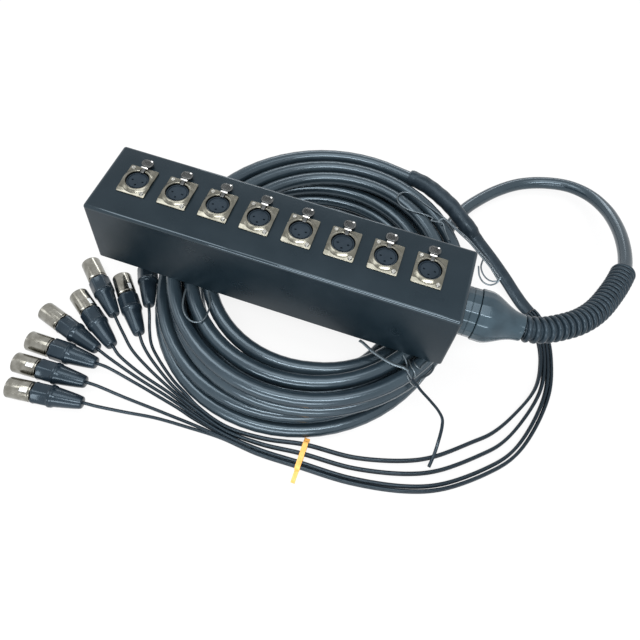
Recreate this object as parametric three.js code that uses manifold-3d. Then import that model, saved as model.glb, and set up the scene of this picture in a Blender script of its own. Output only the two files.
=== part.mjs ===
// Stage box snake: a folded steel box with eight panel sockets, resting on its own coil of
// multicore cable, which ends in eight thin tails, each with a three pin cable plug.
// Millimetres, +X towards the cable gland, +Y away from the long front face, +Z up.

import * as THREE from 'three';
import { mergeVertices } from 'three/addons/utils/BufferGeometryUtils.js';
import Module from 'manifold-3d';

const wasm = await Module();
wasm.setup();

// Shared clearances
const seatGap = 0.3;
const cutOverrun = 1;

// Box
const boxLength = 329;
const boxDepth = 76;
const boxHeight = 72;
const sheet = 1.5;
const foldRadius = 2.5;
const trayWall = 14;

// Panel sockets
const socketCount = 8;
const firstSocketInset = 31.2;
const lastSocketInset = 36;
const socketRowY = 2.2;
const flangeWidth = 26;
const flangeDepth = 31;
const flangeThickness = 2;
const flangeCorner = 1.2;
const collarRadius = 12;
const collarHeight = 3.5;
const barrelRadius = 11.6;
const barrelLength = 20;
const socketBore = 10.2;
const screwHoleRadius = 1.6;
const screwX = 9.6;
const screwY = 12.2;
const insertSunk = 1.8;
const insertLength = 18;
const contactHoleRadius = 1.3;
const contactHoleDepth = 6;
const contactCircle = 4.6;
const contactCount = 3;
const contactHoleSides = 6;
const socketSides = 16;
const cornerSteps = 2;
const foldSteps = 4;

// Push latches
const latchThickness = 1.6;
const latchBarWidth = 3.2;
const latchBarInner = 8.4;
const latchPadStart = 16;
const latchPadEnd = 24.4;
const latchPadWidth = 10.8;
const latchPadCorner = 3.8;
const latchNotchClearance = 0.9;

// Cable gland
const glandBore = 7.8;
const glandThreadRadius = 10.4;
const glandThreadLength = 14;
const glandRingRadius = 21.8;
const glandRingLength = 13.5;
const glandRingEdge = 1.5;
const lockNutFlats = 27;
const lockNutThickness = 6;
const capRimRadius = 23;
const capRimLength = 8;
const capDomeLength = 33;
const capDomeRadii = [20.7, 17, 13.7, 12, 11];
const capDomeShares = [0.25, 0.45, 0.67, 0.88, 1];
const glandSides = 16;
const hexSides = 6;
const lockNutSteps = 8;

// Cables
const cableDiameter = 14;
const tailDiameter = 3;
const tailGap = 0.45;

// Strain relief, ribbed, round the first stretch of the cable
const ribRadius = 11.5;
const ribValleyRadius = 10.2;
const reliefBore = 8.5;
const reliefSpans = 5;
const ribsPerSpan = 5;
const ribSides = 8;

// Lead: the cable from the inside of the box to the coil
const leadSteps = 22;
const leadInsideSteps = 2;
const leadSides = 10;
const headingNudge = 0.001;
const floorClearance = 0.1;
const leadRoute = [
	[228, 1.6, 91.4],
	[238, 5.6, 90.5],
	[253.3, 15.6, 88.6],
	[268.5, 28.6, 85.8],
	[283.8, 48.6, 81.2],
	[299.4, 79.8, 74.2],
	[309, 103.9, 68.6],
	[314.6, 122.2, 64],
	[316.6, 140.5, 59.5],
	[316.1, 165.3, 53.2],
	[312.2, 192.5, 45.7],
	[302.8, 221.5, 36.8],
	[286, 245.4, 28],
	[264.1, 257.6, 21.3],
	[236.4, 258, 15.3],
	[210.1, 249.1, 10.9],
	[188.1, 231.9, 8.6],
	[171.3, 212.5, 7.6],
	[157.7, 192, 7.3],
	[148.6, 170, 7.2],
	[143.6, 148, 7.2],
	[143, 125, 7.2],
	[147, 103, 7.2],
];

// Coil: one tube, spiralling in and out in four layers, each laid a little to one side of the last
const coilCentreX = 19.8;
const coilCentreY = 17.2;
const coilShortRadius = 148.65;
const coilLongRadius = 155.8;
const coilTilt = THREE.MathUtils.degToRad(-25.8);
const coilStartAngle = THREE.MathUtils.degToRad(15);
const layerTurns = [2.9, 2.9, 2.45, 2.58];
const layerShifts = [[3.76, 3.99], [6.9, 4.1], [4.77, 4.34]];
const shiftDelays = [0.2, -0.1, -0.15];
const climbTurns = 0.42;
const strandGap = 2.2;
const layerGap = 0.6;
const loopSteps = 24;
const strandHeightShare = 0.957;
const strandFlatShare = 0.6;

// Sleeves at the break-out
const largeSleeveRadius = 8.5;
const largeSleeveSides = 12;
const largeSleeveSteps = 12;
const smallSleeveHalfWidth = 7.3;
const smallSleeveHalfHeight = 4.5;
const smallSleeveSides = 12;
const smallSleeveSteps = 12;
const largeSleeveRoute = [
	[106, 168, 51],
	[124, 158.5, 51],
	[140, 147.5, 50.4],
	[153, 137.6, 46.9],
	[163, 132, 42.7],
	[170, 128.2, 39.2],
];
const smallSleeveRoute = [
	[170, 128.2, 39.2],
	[177, 124.4, 35.7],
	[194, 115, 27.6],
	[212, 104.8, 17.8],
	[228, 94.4, 8.9],
	[238.2, 87.1, 5],
	[246, 81, 4.6],
];

// Tails: four lanes of two rows in one bundle, then one route each to the plugs.
// A bundle point is X, Y and height of the outermost lower tail, then how far the lanes fan out.
const tailsPerLane = 2;
const laneFanShares = [0, 0.04, 0.5, 1];
const tailSteps = 27;
const tailSides = 8;
const bundleRoute = [
	[249.6, 84.5, 2.9, 0],
	[255.7, 79.7, 2.6, 0],
	[268.5, 56, 1.6, 0],
	[274.5, 30, 1.6, 0],
	[276, -3, 1.6, 3],
	[266, -46, 1.6, 12],
	[252, -76, 1.6, 17],
	[233, -97, 1.6, 19],
	[197, -124.5, 1.6, 18],
	[167, -137, 1.6, 16],
	[119, -146, 1.6, 12],
	[72, -148, 2.7, 10],
	[35, -148.5, 1.6, 4],
	[-1, -145.5, 1.6, 0],
];
const pointsPastTie = 3;
const tailEndRoutes = [
	[
		[-30, -146.2, 1.6],
		[-62, -147.9, 1.6],
		[-90, -152.3, 2.4],
		[-114.3, -157.7, 9],
		[-124.2, -158.9, 10.1],
	],
	[
		[-30, -143.1, 4],
		[-46, -141.7, 1.7],
		[-62, -140.9, 1.6],
		[-95, -140, 3],
		[-121.4, -140.2, 9.2],
		[-131.4, -140.7, 10.1],
	],
	[
		[-30, -137.3, 1.6],
		[-46, -133.2, 1.6],
		[-62, -129.9, 1.6],
		[-95, -123.8, 3],
		[-121.7, -121, 9.2],
		[-131.7, -121, 10.1],
	],
	[
		[-30, -135.3, 4.6],
		[-46, -130.5, 3.9],
		[-62, -125.8, 1.75],
		[-95, -118.4, 2.4],
		[-128.5, -110.8, 9.2],
		[-138.1, -107.9, 10.1],
	],
	[
		[-30, -132.5, 1.6],
		[-46, -127, 1.6],
		[-62, -121.8, 1.6],
		[-95, -113.6, 3.4],
		[-118.6, -105.9, 9],
		[-127.2, -100.1, 10.1],
	],
	[
		[-30, -130.2, 4.7],
		[-46, -124.5, 4.1],
		[-62, -118, 1.75],
		[-90, -106, 1.9],
		[-112, -94.4, 2.6],
		[-125, -84, 5.6],
		[-133.4, -77, 9.4],
		[-140.8, -70.3, 10.1],
	],
	[
		[-30, -127.3, 1.6],
		[-46, -121, 1.6],
		[-62, -114.2, 1.6],
		[-84, -101.6, 2.4],
		[-94.5, -95, 5.6],
		[-103.2, -88, 9.2],
		[-109.8, -80.5, 10.1],
	],
	[
		[-30, -126.8, 5.1],
		[-46, -118.8, 5.1],
		[-62, -110.2, 2.6],
		[-84, -95, 1.75],
		[-97, -83.5, 1.75],
		[-105, -71, 3.2],
		[-110.5, -58.3, 9.2],
		[-115.2, -49.5, 10.1],
	],
];

// Cable plugs
const plugBodyRadius = 10.1;
const plugBodyLength = 19;
const plugBodyEdge = 0.7;
const bootLength = 26;
const bootEndRadius = 5.5;
const bootShoulderRadius = 8.6;
const bootShoulder = 4;
const bootSides = 12;
const shellRadius = 9.2;
const shellWall = 1.1;
const shellLength = 22.7;
const shellFloor = 4.6;
const shellSides = 16;
const pinRadius = 1.2;
const pinShortOfRim = 4.8;
const pinCircle = 3.4;
const pinSides = 6;
const windowLength = 5;
const windowWidth = 4.4;
const windowStart = 1.2;
const windowTurnShares = [0.12, 0.2, 0.02, 0.3, 0.16, 0.4, 0.08, 0.25];

// Tie round the tails
const tieWidth = 4;
const tieStrap = 0.75;
const tieTailLength = 11;
const tieTipThickness = 0.5;
const tieHeadLength = 4;
const tieHeadHeight = 3.2;

// Wiring inside the box
const loomRadius = 5;
const loomHeight = -8;
const branchRadius = 2;
const loomSides = 10;
const branchSides = 8;

// Places worked out from the sizes above
const boxTop = boxHeight / 2;
const boxEnd = boxLength / 2;
const socketPitch = (boxLength - firstSocketInset - lastSocketInset) / (socketCount - 1);
const cableRadius = cableDiameter / 2;
const tailRadius = tailDiameter / 2;
const strandHalfHeight = cableRadius * strandHeightShare;
const layerStep = 2 * strandHalfHeight + layerGap;
const coilHeight = 2 * strandHalfHeight + (layerTurns.length - 1) * layerStep;
const floorLevel = -boxTop - seatGap - coilHeight;
const coilPitch = cableDiameter + strandGap;
const coilTurns = layerTurns.reduce((sum, turns) => sum + turns, 0);
const lanePitch = tailDiameter + tailGap;
const latchBottom = flangeThickness + seatGap;
const latchPivotY = latchPadStart - latchThickness;
const insertTop = collarHeight - insertSunk;
const glandRingStart = boxEnd + seatGap;
const glandRingEnd = glandRingStart + glandRingLength;
const capStart = glandRingEnd + seatGap;
const capRimEnd = capStart + capRimLength;
const capEnd = capRimEnd + capDomeLength;
const reliefStart = capEnd + seatGap;
const plugLength = bootLength + plugBodyLength;
const shellStart = plugLength + seatGap;
const shellEnd = shellStart + shellLength;
const quarterTurn = Math.PI / 2;
const fullTurn = 2 * Math.PI;

const root = new THREE.Group();
const frameShift = new THREE.Group();
root.add(frameShift);

// Materials
function coat(colour, roughness, metalness) {
	return () => new THREE.MeshStandardMaterial({ color: colour, roughness, metalness });
}
const paint = coat(0x39444d, 0.55, 0.1);
const nickel = coat(0xa9aaa2, 0.25, 1);
const slate = coat(0x303a42, 0.5, 0);
const glandPlastic = coat(0x2b333b, 0.42, 0);
const rubber = coat(0x262d33, 0.6, 0);
const jacket = coat(0x2c353c, 0.5, 0);
const plugPlastic = coat(0x242c35, 0.45, 0);
const orange = coat(0xf5af50, 0.5, 0);
const brassFinish = coat(0x8d8a80, 0.4, 1);

// Adds one named sub-part to a group.
function place(group, name, geometry, makeMaterial) {
	const mesh = new THREE.Mesh(geometry, makeMaterial());
	mesh.name = name;
	group.add(mesh);
	return mesh;
}

// Solids for joining and cutting
function solid(geometry) {
	const bare = geometry.clone();
	bare.deleteAttribute('normal');
	bare.deleteAttribute('uv');
	const merged = mergeVertices(bare);
	const kept = [];
	const index = merged.index.array;
	for (let i = 0; i < index.length; i += 3) {
		const [a, b, c] = [index[i], index[i + 1], index[i + 2]];
		if (a !== b && b !== c && c !== a) kept.push(a, b, c);
	}
	return new wasm.Manifold(new wasm.Mesh({
		numProp: 3,
		vertProperties: new Float32Array(merged.attributes.position.array),
		triVerts: new Uint32Array(kept),
	}));
}

function geometryOf(made) {
	const mesh = made.getMesh();
	const geometry = new THREE.BufferGeometry();
	geometry.setAttribute('position', new THREE.BufferAttribute(new Float32Array(mesh.vertProperties), 3));
	geometry.setIndex(new THREE.BufferAttribute(new Uint32Array(mesh.triVerts), 1));
	geometry.computeVertexNormals();
	return geometry;
}

// A box between two corners.
function block(low, high) {
	const geometry = new THREE.BoxGeometry(high[0] - low[0], high[1] - low[1], high[2] - low[2]);
	return geometry.translate((low[0] + high[0]) / 2, (low[1] + high[1]) / 2, (low[2] + high[2]) / 2);
}

// A round bar between two heights, standing at a point.
function bar(radius, low, high, sides, x = 0, y = 0) {
	const geometry = new THREE.CylinderGeometry(radius, radius, high - low, sides);
	return geometry.rotateX(quarterTurn).translate(x, y, (low + high) / 2);
}

function turnedAlongZ(profile, sides) {
	const points = profile.map(([radius, height]) => new THREE.Vector2(radius, height));
	return new THREE.LatheGeometry(points, sides).rotateX(quarterTurn);
}

function turnedAlongX(profile, sides) {
	const points = profile.map(([radius, along]) => new THREE.Vector2(radius, along));
	return new THREE.LatheGeometry(points, sides).rotateZ(-quarterTurn);
}

function roundedRectangle(left, right, bottom, top, corner) {
	const shape = new THREE.Shape();
	shape.moveTo(left + corner, bottom);
	shape.lineTo(right - corner, bottom);
	shape.absarc(right - corner, bottom + corner, corner, -quarterTurn, 0);
	shape.lineTo(right, top - corner);
	shape.absarc(right - corner, top - corner, corner, 0, quarterTurn);
	shape.lineTo(left + corner, top);
	shape.absarc(left + corner, top - corner, corner, quarterTurn, 2 * quarterTurn);
	shape.lineTo(left, bottom + corner);
	shape.absarc(left + corner, bottom + corner, corner, 2 * quarterTurn, 3 * quarterTurn);
	return shape;
}

function hexagon(flats) {
	const corner = flats / 2 / Math.cos(Math.PI / hexSides);
	const points = [];
	for (let i = 0; i < hexSides; i += 1) {
		const angle = i * fullTurn / hexSides;
		points.push(new THREE.Vector2(corner * Math.cos(angle), corner * Math.sin(angle)));
	}
	return new THREE.Shape(points);
}

function roundHole(radius, x = 0, y = 0) {
	return new THREE.Path().absarc(x, y, radius, 0, fullTurn, true);
}

function extruded(shape, depth, curveSegments) {
	return new THREE.ExtrudeGeometry(shape, { depth, bevelEnabled: false, curveSegments });
}

// Stands an outline drawn in Y and Z up, so that its depth runs along X.
function alongX(geometry) {
	const basis = new THREE.Matrix4().makeBasis(
		new THREE.Vector3(0, 1, 0),
		new THREE.Vector3(0, 0, 1),
		new THREE.Vector3(1, 0, 0),
	);
	return geometry.applyMatrix4(basis);
}

// Joins a row of closed rings, counter-clockwise seen from the far end, and closes both ends.
function loft(rings) {
	const count = rings[0].length;
	const positions = rings.flat().flatMap((point) => [point.x, point.y, point.z]);
	const faces = [];
	for (let i = 0; i + 1 < rings.length; i += 1) {
		for (let j = 0; j < count; j += 1) {
			const next = (j + 1) % count;
			const [a, b] = [i * count + j, i * count + next];
			const [c, d] = [b + count, a + count];
			faces.push(a, b, c, a, c, d);
		}
	}
	const last = (rings.length - 1) * count;
	for (let j = 1; j + 1 < count; j += 1) {
		faces.push(0, j + 1, j);
		faces.push(last, last + j, last + j + 1);
	}
	return meshOf(positions, faces);
}

function meshOf(positions, faces) {
	const geometry = new THREE.BufferGeometry();
	geometry.setAttribute('position', new THREE.BufferAttribute(new Float32Array(positions), 3));
	geometry.setIndex(faces);
	geometry.computeVertexNormals();
	return geometry;
}

// One ring of a section, given as pairs across and up, square to a heading.
function ring(centre, heading, section) {
	const across = new THREE.Vector3(-heading.y, heading.x, 0).normalize();
	const up = new THREE.Vector3().crossVectors(heading, across).normalize();
	return section.map(([side, rise]) => centre.clone().addScaledVector(across, side).addScaledVector(up, rise));
}

function roundSection(halfWidth, halfHeight, sides) {
	const points = [];
	for (let i = 0; i < sides; i += 1) {
		const angle = (i + 0.5) * fullTurn / sides;
		points.push([halfWidth * Math.cos(angle), halfHeight * Math.sin(angle)]);
	}
	return points;
}

// A point of a cord's route, whose height is counted from the floor.
function routePoint([x, y, height]) {
	return new THREE.Vector3(x, y, floorLevel + height);
}

function tube(path, radius, sides, steps) {
	const points = roundSection(radius, radius, sides).map(([x, y]) => new THREE.Vector2(x, y));
	return new THREE.ExtrudeGeometry(new THREE.Shape(points), { steps, extrudePath: path, bevelEnabled: false });
}

// Box: a folded cover with closed ends and a tray that closes it from below
function boxOutline(inset, corner) {
	const halfDepth = boxDepth / 2 - inset;
	const shape = new THREE.Shape();
	shape.moveTo(-halfDepth, -boxTop);
	shape.lineTo(halfDepth, -boxTop);
	shape.lineTo(halfDepth, boxTop - inset - corner);
	shape.absarc(halfDepth - corner, boxTop - inset - corner, corner, 0, quarterTurn);
	shape.lineTo(corner - halfDepth, boxTop - inset);
	shape.absarc(corner - halfDepth, boxTop - inset - corner, corner, quarterTurn, 2 * quarterTurn);
	return shape;
}

function socketX(index) {
	return firstSocketInset - boxEnd + index * socketPitch;
}

function topShell() {
	const outer = alongX(extruded(boxOutline(0, foldRadius), boxLength, foldSteps)).translate(-boxEnd, 0, 0);
	const hollowLength = boxLength - 2 * sheet;
	const hollow = alongX(extruded(boxOutline(sheet, foldRadius - sheet), hollowLength, foldSteps));
	hollow.translate(sheet - boxEnd, 0, 0);
	const mouth = block(
		[sheet - boxEnd, sheet - boxDepth / 2, -boxTop - cutOverrun],
		[boxEnd - sheet, boxDepth / 2 - sheet, cutOverrun - boxTop],
	);
	let made = solid(outer).subtract(solid(hollow)).subtract(solid(mouth));
	const panelHole = barrelRadius + seatGap;
	for (let i = 0; i < socketCount; i += 1) {
		const low = boxTop - sheet - cutOverrun;
		const hole = bar(panelHole, low, boxTop + cutOverrun, socketSides, socketX(i), socketRowY);
		made = made.subtract(solid(hole));
	}
	const glandHole = new THREE.CylinderGeometry(
		glandThreadRadius + seatGap,
		glandThreadRadius + seatGap,
		2 * sheet + 2 * cutOverrun,
		glandSides,
	);
	glandHole.rotateZ(quarterTurn).translate(boxEnd - sheet / 2, 0, 0);
	return geometryOf(made.subtract(solid(glandHole)));
}

function baseTray() {
	const halfLength = boxEnd - sheet - seatGap;
	const halfDepth = boxDepth / 2 - sheet - seatGap;
	const outer = block([-halfLength, -halfDepth, -boxTop], [halfLength, halfDepth, trayWall - boxTop]);
	const hollow = block(
		[sheet - halfLength, sheet - halfDepth, sheet - boxTop],
		[halfLength - sheet, halfDepth - sheet, trayWall + cutOverrun - boxTop],
	);
	return geometryOf(solid(outer).subtract(solid(hollow)));
}

place(frameShift, 'top_shell', topShell(), paint);
place(frameShift, 'base_tray', baseTray(), paint);

// Panel sockets: a square flange with a collar and barrel, a contact insert and a push latch
function housingGeometry() {
	const flange = roundedRectangle(
		-flangeWidth / 2,
		flangeWidth / 2,
		-flangeDepth / 2,
		flangeDepth / 2,
		flangeCorner,
	);
	flange.holes.push(roundHole(screwHoleRadius, -screwX, screwY), roundHole(screwHoleRadius, screwX, -screwY));
	const plate = extruded(flange, flangeThickness - seatGap, cornerSteps).translate(0, 0, seatGap);
	const sleeve = turnedAlongZ([
		[socketBore, -barrelLength],
		[barrelRadius, -barrelLength],
		[barrelRadius, flangeThickness / 2],
		[collarRadius, flangeThickness / 2],
		[collarRadius, collarHeight],
		[socketBore, collarHeight],
		[socketBore, -barrelLength],
	], socketSides);
	const bore = bar(socketBore, -barrelLength - cutOverrun, collarHeight + cutOverrun, socketSides);
	const notchHalf = latchBarWidth / 2 + latchNotchClearance;
	const notch = block(
		[-notchHalf, latchBarInner - latchNotchClearance, flangeThickness],
		[notchHalf, collarRadius + cutOverrun, collarHeight + cutOverrun],
	);
	return geometryOf(solid(plate).add(solid(sleeve)).subtract(solid(bore)).subtract(solid(notch)));
}

function insertGeometry() {
	const radius = socketBore - seatGap;
	let made = solid(bar(radius, -insertLength, insertTop, socketSides));
	for (let i = 0; i < contactCount; i += 1) {
		const angle = i * quarterTurn;
		const [x, y] = [contactCircle * Math.cos(angle), -contactCircle * Math.sin(angle)];
		const bottom = insertTop - contactHoleDepth;
		const hole = bar(contactHoleRadius, bottom, insertTop + cutOverrun, contactHoleSides, x, y);
		made = made.subtract(solid(hole));
	}
	return geometryOf(made);
}

function latchGeometry() {
	const neck = latchBarWidth / 2;
	const half = latchPadWidth / 2;
	const shape = new THREE.Shape();
	shape.moveTo(-neck, latchBarInner);
	shape.lineTo(neck, latchBarInner);
	shape.lineTo(neck, latchPadStart);
	shape.lineTo(half - latchPadCorner, latchPadStart);
	const side = half - latchPadCorner;
	const near = latchPadStart + latchPadCorner;
	const far = latchPadEnd - latchPadCorner;
	shape.absarc(side, near, latchPadCorner, -quarterTurn, 0);
	shape.absarc(side, far, latchPadCorner, 0, quarterTurn);
	shape.absarc(-side, far, latchPadCorner, quarterTurn, 2 * quarterTurn);
	shape.absarc(-side, near, latchPadCorner, 2 * quarterTurn, 3 * quarterTurn);
	shape.lineTo(-neck, latchPadStart);
	return extruded(shape, latchThickness, 1).translate(0, 0, latchBottom);
}

const sharedHousing = housingGeometry();
const sharedInsert = insertGeometry();
const sharedLatch = latchGeometry();
for (let i = 0; i < socketCount; i += 1) {
	const socket = new THREE.Group();
	socket.position.set(socketX(i), socketRowY, boxTop);
	frameShift.add(socket);
	place(socket, `connector_housing_${i + 1}`, sharedHousing, nickel);
	place(socket, `connector_insert_${i + 1}`, sharedInsert, slate);
	const latch = place(socket, `push_latch_${i + 1}`, sharedLatch, nickel);
	latch.userData.pivot = new THREE.Vector3(0, latchPivotY, latchBottom + latchThickness / 2);
}

// Cable gland in the end wall: threaded body, lock nut and domed cap
function glandBody() {
	const threadStart = boxEnd - glandThreadLength;
	return turnedAlongX([
		[glandBore, threadStart],
		[glandThreadRadius, threadStart],
		[glandThreadRadius, glandRingStart],
		[glandRingRadius, glandRingStart],
		[glandRingRadius, glandRingEnd - glandRingEdge],
		[glandRingRadius - glandRingEdge, glandRingEnd],
		[glandBore, glandRingEnd],
		[glandBore, threadStart],
	], glandSides);
}

function lockNut() {
	const shape = hexagon(lockNutFlats);
	shape.holes.push(roundHole(glandThreadRadius + seatGap));
	const nutEnd = boxEnd - sheet - seatGap;
	return alongX(extruded(shape, lockNutThickness, lockNutSteps)).translate(nutEnd - lockNutThickness, 0, 0);
}

function glandCap() {
	const profile = [[glandBore, capStart], [capRimRadius, capStart], [capRimRadius, capRimEnd]];
	for (let i = 0; i < capDomeRadii.length; i += 1) {
		profile.push([capDomeRadii[i], capRimEnd + capDomeShares[i] * capDomeLength]);
	}
	profile.push([glandBore, capEnd], [glandBore, capStart]);
	return turnedAlongX(profile, glandSides);
}

place(frameShift, 'gland_body', glandBody(), glandPlastic);
place(frameShift, 'gland_lock_nut', lockNut(), brassFinish);
place(frameShift, 'gland_cap', glandCap(), glandPlastic);

// Coil of multicore cable
function coilInset(turn) {
	let inset = 0;
	let start = 0;
	let direction = 1;
	for (const turns of layerTurns) {
		inset += direction * THREE.MathUtils.clamp(turn - start, 0, turns) * coilPitch;
		direction = -direction;
		start += turns;
	}
	return inset;
}

function coilRise(turn) {
	let rise = 0;
	let reversal = 0;
	for (const turns of layerTurns.slice(0, -1)) {
		reversal += turns;
		rise += layerStep * THREE.MathUtils.clamp((turn - reversal) / climbTurns + 0.5, 0, 1);
	}
	return rise;
}

function coilShift(turn) {
	const shift = new THREE.Vector3();
	let reversal = 0;
	for (let i = 0; i < layerShifts.length; i += 1) {
		reversal += layerTurns[i];
		const share = THREE.MathUtils.smoothstep((turn - reversal - shiftDelays[i]) / climbTurns + 0.5, 0, 1);
		shift.x += layerShifts[i][0] * share;
		shift.y += layerShifts[i][1] * share;
	}
	return shift;
}

function coilPoint(turn) {
	const angle = coilStartAngle - coilTilt - turn * fullTurn;
	const inset = coilInset(turn) + cableRadius;
	const along = (coilShortRadius - inset) * Math.cos(angle);
	const across = (coilLongRadius - inset) * Math.sin(angle);
	const point = new THREE.Vector3(
		coilCentreX + along * Math.cos(coilTilt) - across * Math.sin(coilTilt),
		coilCentreY + along * Math.sin(coilTilt) + across * Math.cos(coilTilt),
		floorLevel + strandHalfHeight + coilRise(turn),
	);
	return point.add(coilShift(turn));
}

function coilHeading(turn) {
	const nudge = 0.5 / loopSteps;
	const heading = coilPoint(turn + nudge).sub(coilPoint(turn - nudge));
	return heading.setZ(0).normalize();
}

const strandSection = [
	[cableRadius, 0],
	[cableRadius * strandFlatShare, strandHalfHeight],
	[-cableRadius * strandFlatShare, strandHalfHeight],
	[-cableRadius, 0],
	[-cableRadius * strandFlatShare, -strandHalfHeight],
	[cableRadius * strandFlatShare, -strandHalfHeight],
];
const coilEntryHeading = coilHeading(0);
const coilExitHeading = coilHeading(coilTurns);
const coilEntry = coilPoint(0).addScaledVector(coilEntryHeading, -cableDiameter);
const coilExit = coilPoint(coilTurns).addScaledVector(coilExitHeading, cableDiameter);

function coilRings() {
	const rings = [ring(coilEntry, coilEntryHeading, strandSection)];
	const steps = Math.round(coilTurns * loopSteps);
	for (let i = 0; i <= steps; i += 1) {
		const turn = i * coilTurns / steps;
		rings.push(ring(coilPoint(turn), coilHeading(turn), strandSection));
	}
	rings.push(ring(coilExit, coilExitHeading, strandSection));
	return rings;
}

// The least distance between strands of one tube, measured on points along its section's edges.
function leastGap(rings, farApart) {
	const edgeParts = 6;
	const outlines = rings.map((points) => points.flatMap((point, i) => {
		const next = points[(i + 1) % points.length];
		return Array.from({ length: edgeParts }, (unused, part) => point.clone().lerp(next, part / edgeParts));
	}));
	const centres = rings.map((points) => points[0].clone().add(points[points.length / 2]).multiplyScalar(0.5));
	let least = Infinity;
	for (let i = 0; i < rings.length; i += 1) {
		for (let j = i + farApart; j < rings.length; j += 1) {
			if (centres[i].distanceTo(centres[j]) > 2 * cableDiameter) continue;
			for (const point of outlines[i]) {
				for (const other of outlines[j]) least = Math.min(least, point.distanceTo(other));
			}
		}
	}
	return least;
}

const coilForm = coilRings();
console.log(`least gap of the coil to itself ${leastGap(coilForm, loopSteps / 2).toFixed(2)} mm`);
place(frameShift, 'multicore_coil', loft(coilForm), jacket);

// Lead: straight through the gland, through the strain relief, down to the floor and to the coil
function leadCurve() {
	const foot = coilEntry.clone().setZ(floorLevel + cableRadius + floorClearance);
	const bend = [
		new THREE.Vector3(reliefStart, 0, 0),
		...leadRoute.map(routePoint),
		foot.clone().addScaledVector(coilEntryHeading, -2 * cableDiameter),
		foot.clone().addScaledVector(coilEntryHeading, -cableDiameter),
		foot.clone().addScaledVector(coilEntryHeading, -seatGap),
	];
	const free = new THREE.CatmullRomCurve3(bend, false, 'centripetal');
	const insideLength = leadInsideSteps * free.getLength() / (leadSteps - leadInsideSteps);
	const inside = new THREE.LineCurve3(
		new THREE.Vector3(reliefStart - insideLength, 0, 0),
		new THREE.Vector3(reliefStart, 0, 0),
	);
	const path = new THREE.CurvePath();
	path.add(inside);
	path.add(free);
	return path;
}

const leadPath = leadCurve();
const leadStart = leadPath.getPoint(0);
place(frameShift, 'multicore_lead', tube(leadPath, cableRadius, leadSides, leadSteps), jacket);

// Strain relief: two rings to a rib outside, and a bore ring at each fifth rib
function strainRelief() {
	const ribs = reliefSpans * ribsPerSpan;
	const ringAt = (step, radius) => {
		const share = step / leadSteps;
		const behind = leadPath.getPoint(share - headingNudge);
		const heading = leadPath.getPoint(share + headingNudge).sub(behind).normalize();
		if (step === leadInsideSteps) heading.set(1, 0, 0);
		return ring(leadPath.getPoint(share), heading, roundSection(radius, radius, ribSides));
	};
	const outside = [];
	for (let i = 0; i <= ribs; i += 1) {
		outside.push(ringAt(leadInsideSteps + i / ribsPerSpan, ribRadius));
		if (i < ribs) outside.push(ringAt(leadInsideSteps + (i + 0.5) / ribsPerSpan, ribValleyRadius));
	}
	const bore = [];
	for (let i = 0; i <= reliefSpans; i += 1) bore.push(ringAt(leadInsideSteps + i, reliefBore));
	const positions = [...outside, ...bore].flat().flatMap((point) => [point.x, point.y, point.z]);
	const faces = [];
	const wall = (first, second, outward) => {
		for (let j = 0; j < ribSides; j += 1) {
			const next = (j + 1) % ribSides;
			const [a, b] = [first * ribSides + j, first * ribSides + next];
			const [c, d] = [second * ribSides + next, second * ribSides + j];
			if (outward) faces.push(a, b, c, a, c, d);
			else faces.push(a, c, b, a, d, c);
		}
	};
	for (let i = 0; i + 1 < outside.length; i += 1) wall(i, i + 1, true);
	for (let i = 0; i < reliefSpans; i += 1) wall(outside.length + i, outside.length + i + 1, false);
	wall(0, outside.length, false);
	wall(outside.length - 1, outside.length + reliefSpans, true);
	return meshOf(positions, faces);
}

place(frameShift, 'strain_relief', strainRelief(), rubber);

// Sleeves at the break-out: a round one on the cable, then a flat one round the tails
function largeSleeve() {
	const lift = new THREE.Vector3(0, 0, largeSleeveRadius - cableRadius);
	const start = coilExit.clone().addScaledVector(coilExitHeading, seatGap).add(lift);
	const points = [start, start.clone().addScaledVector(coilExitHeading, cableRadius)];
	const path = new THREE.CatmullRomCurve3([...points, ...largeSleeveRoute.map(routePoint)]);
	return tube(path, largeSleeveRadius, largeSleeveSides, largeSleeveSteps);
}

function smallSleeve() {
	const points = smallSleeveRoute.map(routePoint);
	const heading = points[1].clone().sub(points[0]).normalize();
	points[0].addScaledVector(heading, seatGap);
	const path = new THREE.CatmullRomCurve3(points);
	const section = roundSection(smallSleeveHalfWidth, smallSleeveHalfHeight, smallSleeveSides);
	const rings = [];
	for (let i = 0; i <= smallSleeveSteps; i += 1) {
		const share = i / smallSleeveSteps;
		rings.push(ring(path.getPointAt(share), path.getTangentAt(share), section));
	}
	return loft(rings);
}

place(frameShift, 'breakout_sleeve_large', largeSleeve(), rubber);
place(frameShift, 'breakout_sleeve_small', smallSleeve(), rubber);

// Tails and the plugs at their ends
function laneOffset(lane, fan) {
	return lane * lanePitch + fan * laneFanShares[lane];
}

function bundlePoints(lane, row) {
	return bundleRoute.map((point, i) => {
		const before = bundleRoute[Math.max(i - 1, 0)];
		const after = bundleRoute[Math.min(i + 1, bundleRoute.length - 1)];
		const heading = new THREE.Vector2(after[0] - before[0], after[1] - before[1]).normalize();
		const offset = laneOffset(lane, point[3]);
		const [x, y] = [point[0] + heading.y * offset, point[1] - heading.x * offset];
		return routePoint([x, y, point[2] + row * lanePitch]);
	});
}

function tailPath(index) {
	const ends = tailEndRoutes[index].map(routePoint);
	const mouth = ends[ends.length - 1];
	const heading = mouth.clone().sub(ends[ends.length - 2]).setZ(0).normalize();
	mouth.addScaledVector(heading, -seatGap);
	const straight = mouth.clone().addScaledVector(heading, -tailDiameter);
	ends.splice(ends.length - 1, 0, straight);
	const lane = Math.floor(index / tailsPerLane);
	return new THREE.CatmullRomCurve3([...bundlePoints(lane, index % tailsPerLane), ...ends]);
}

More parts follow.
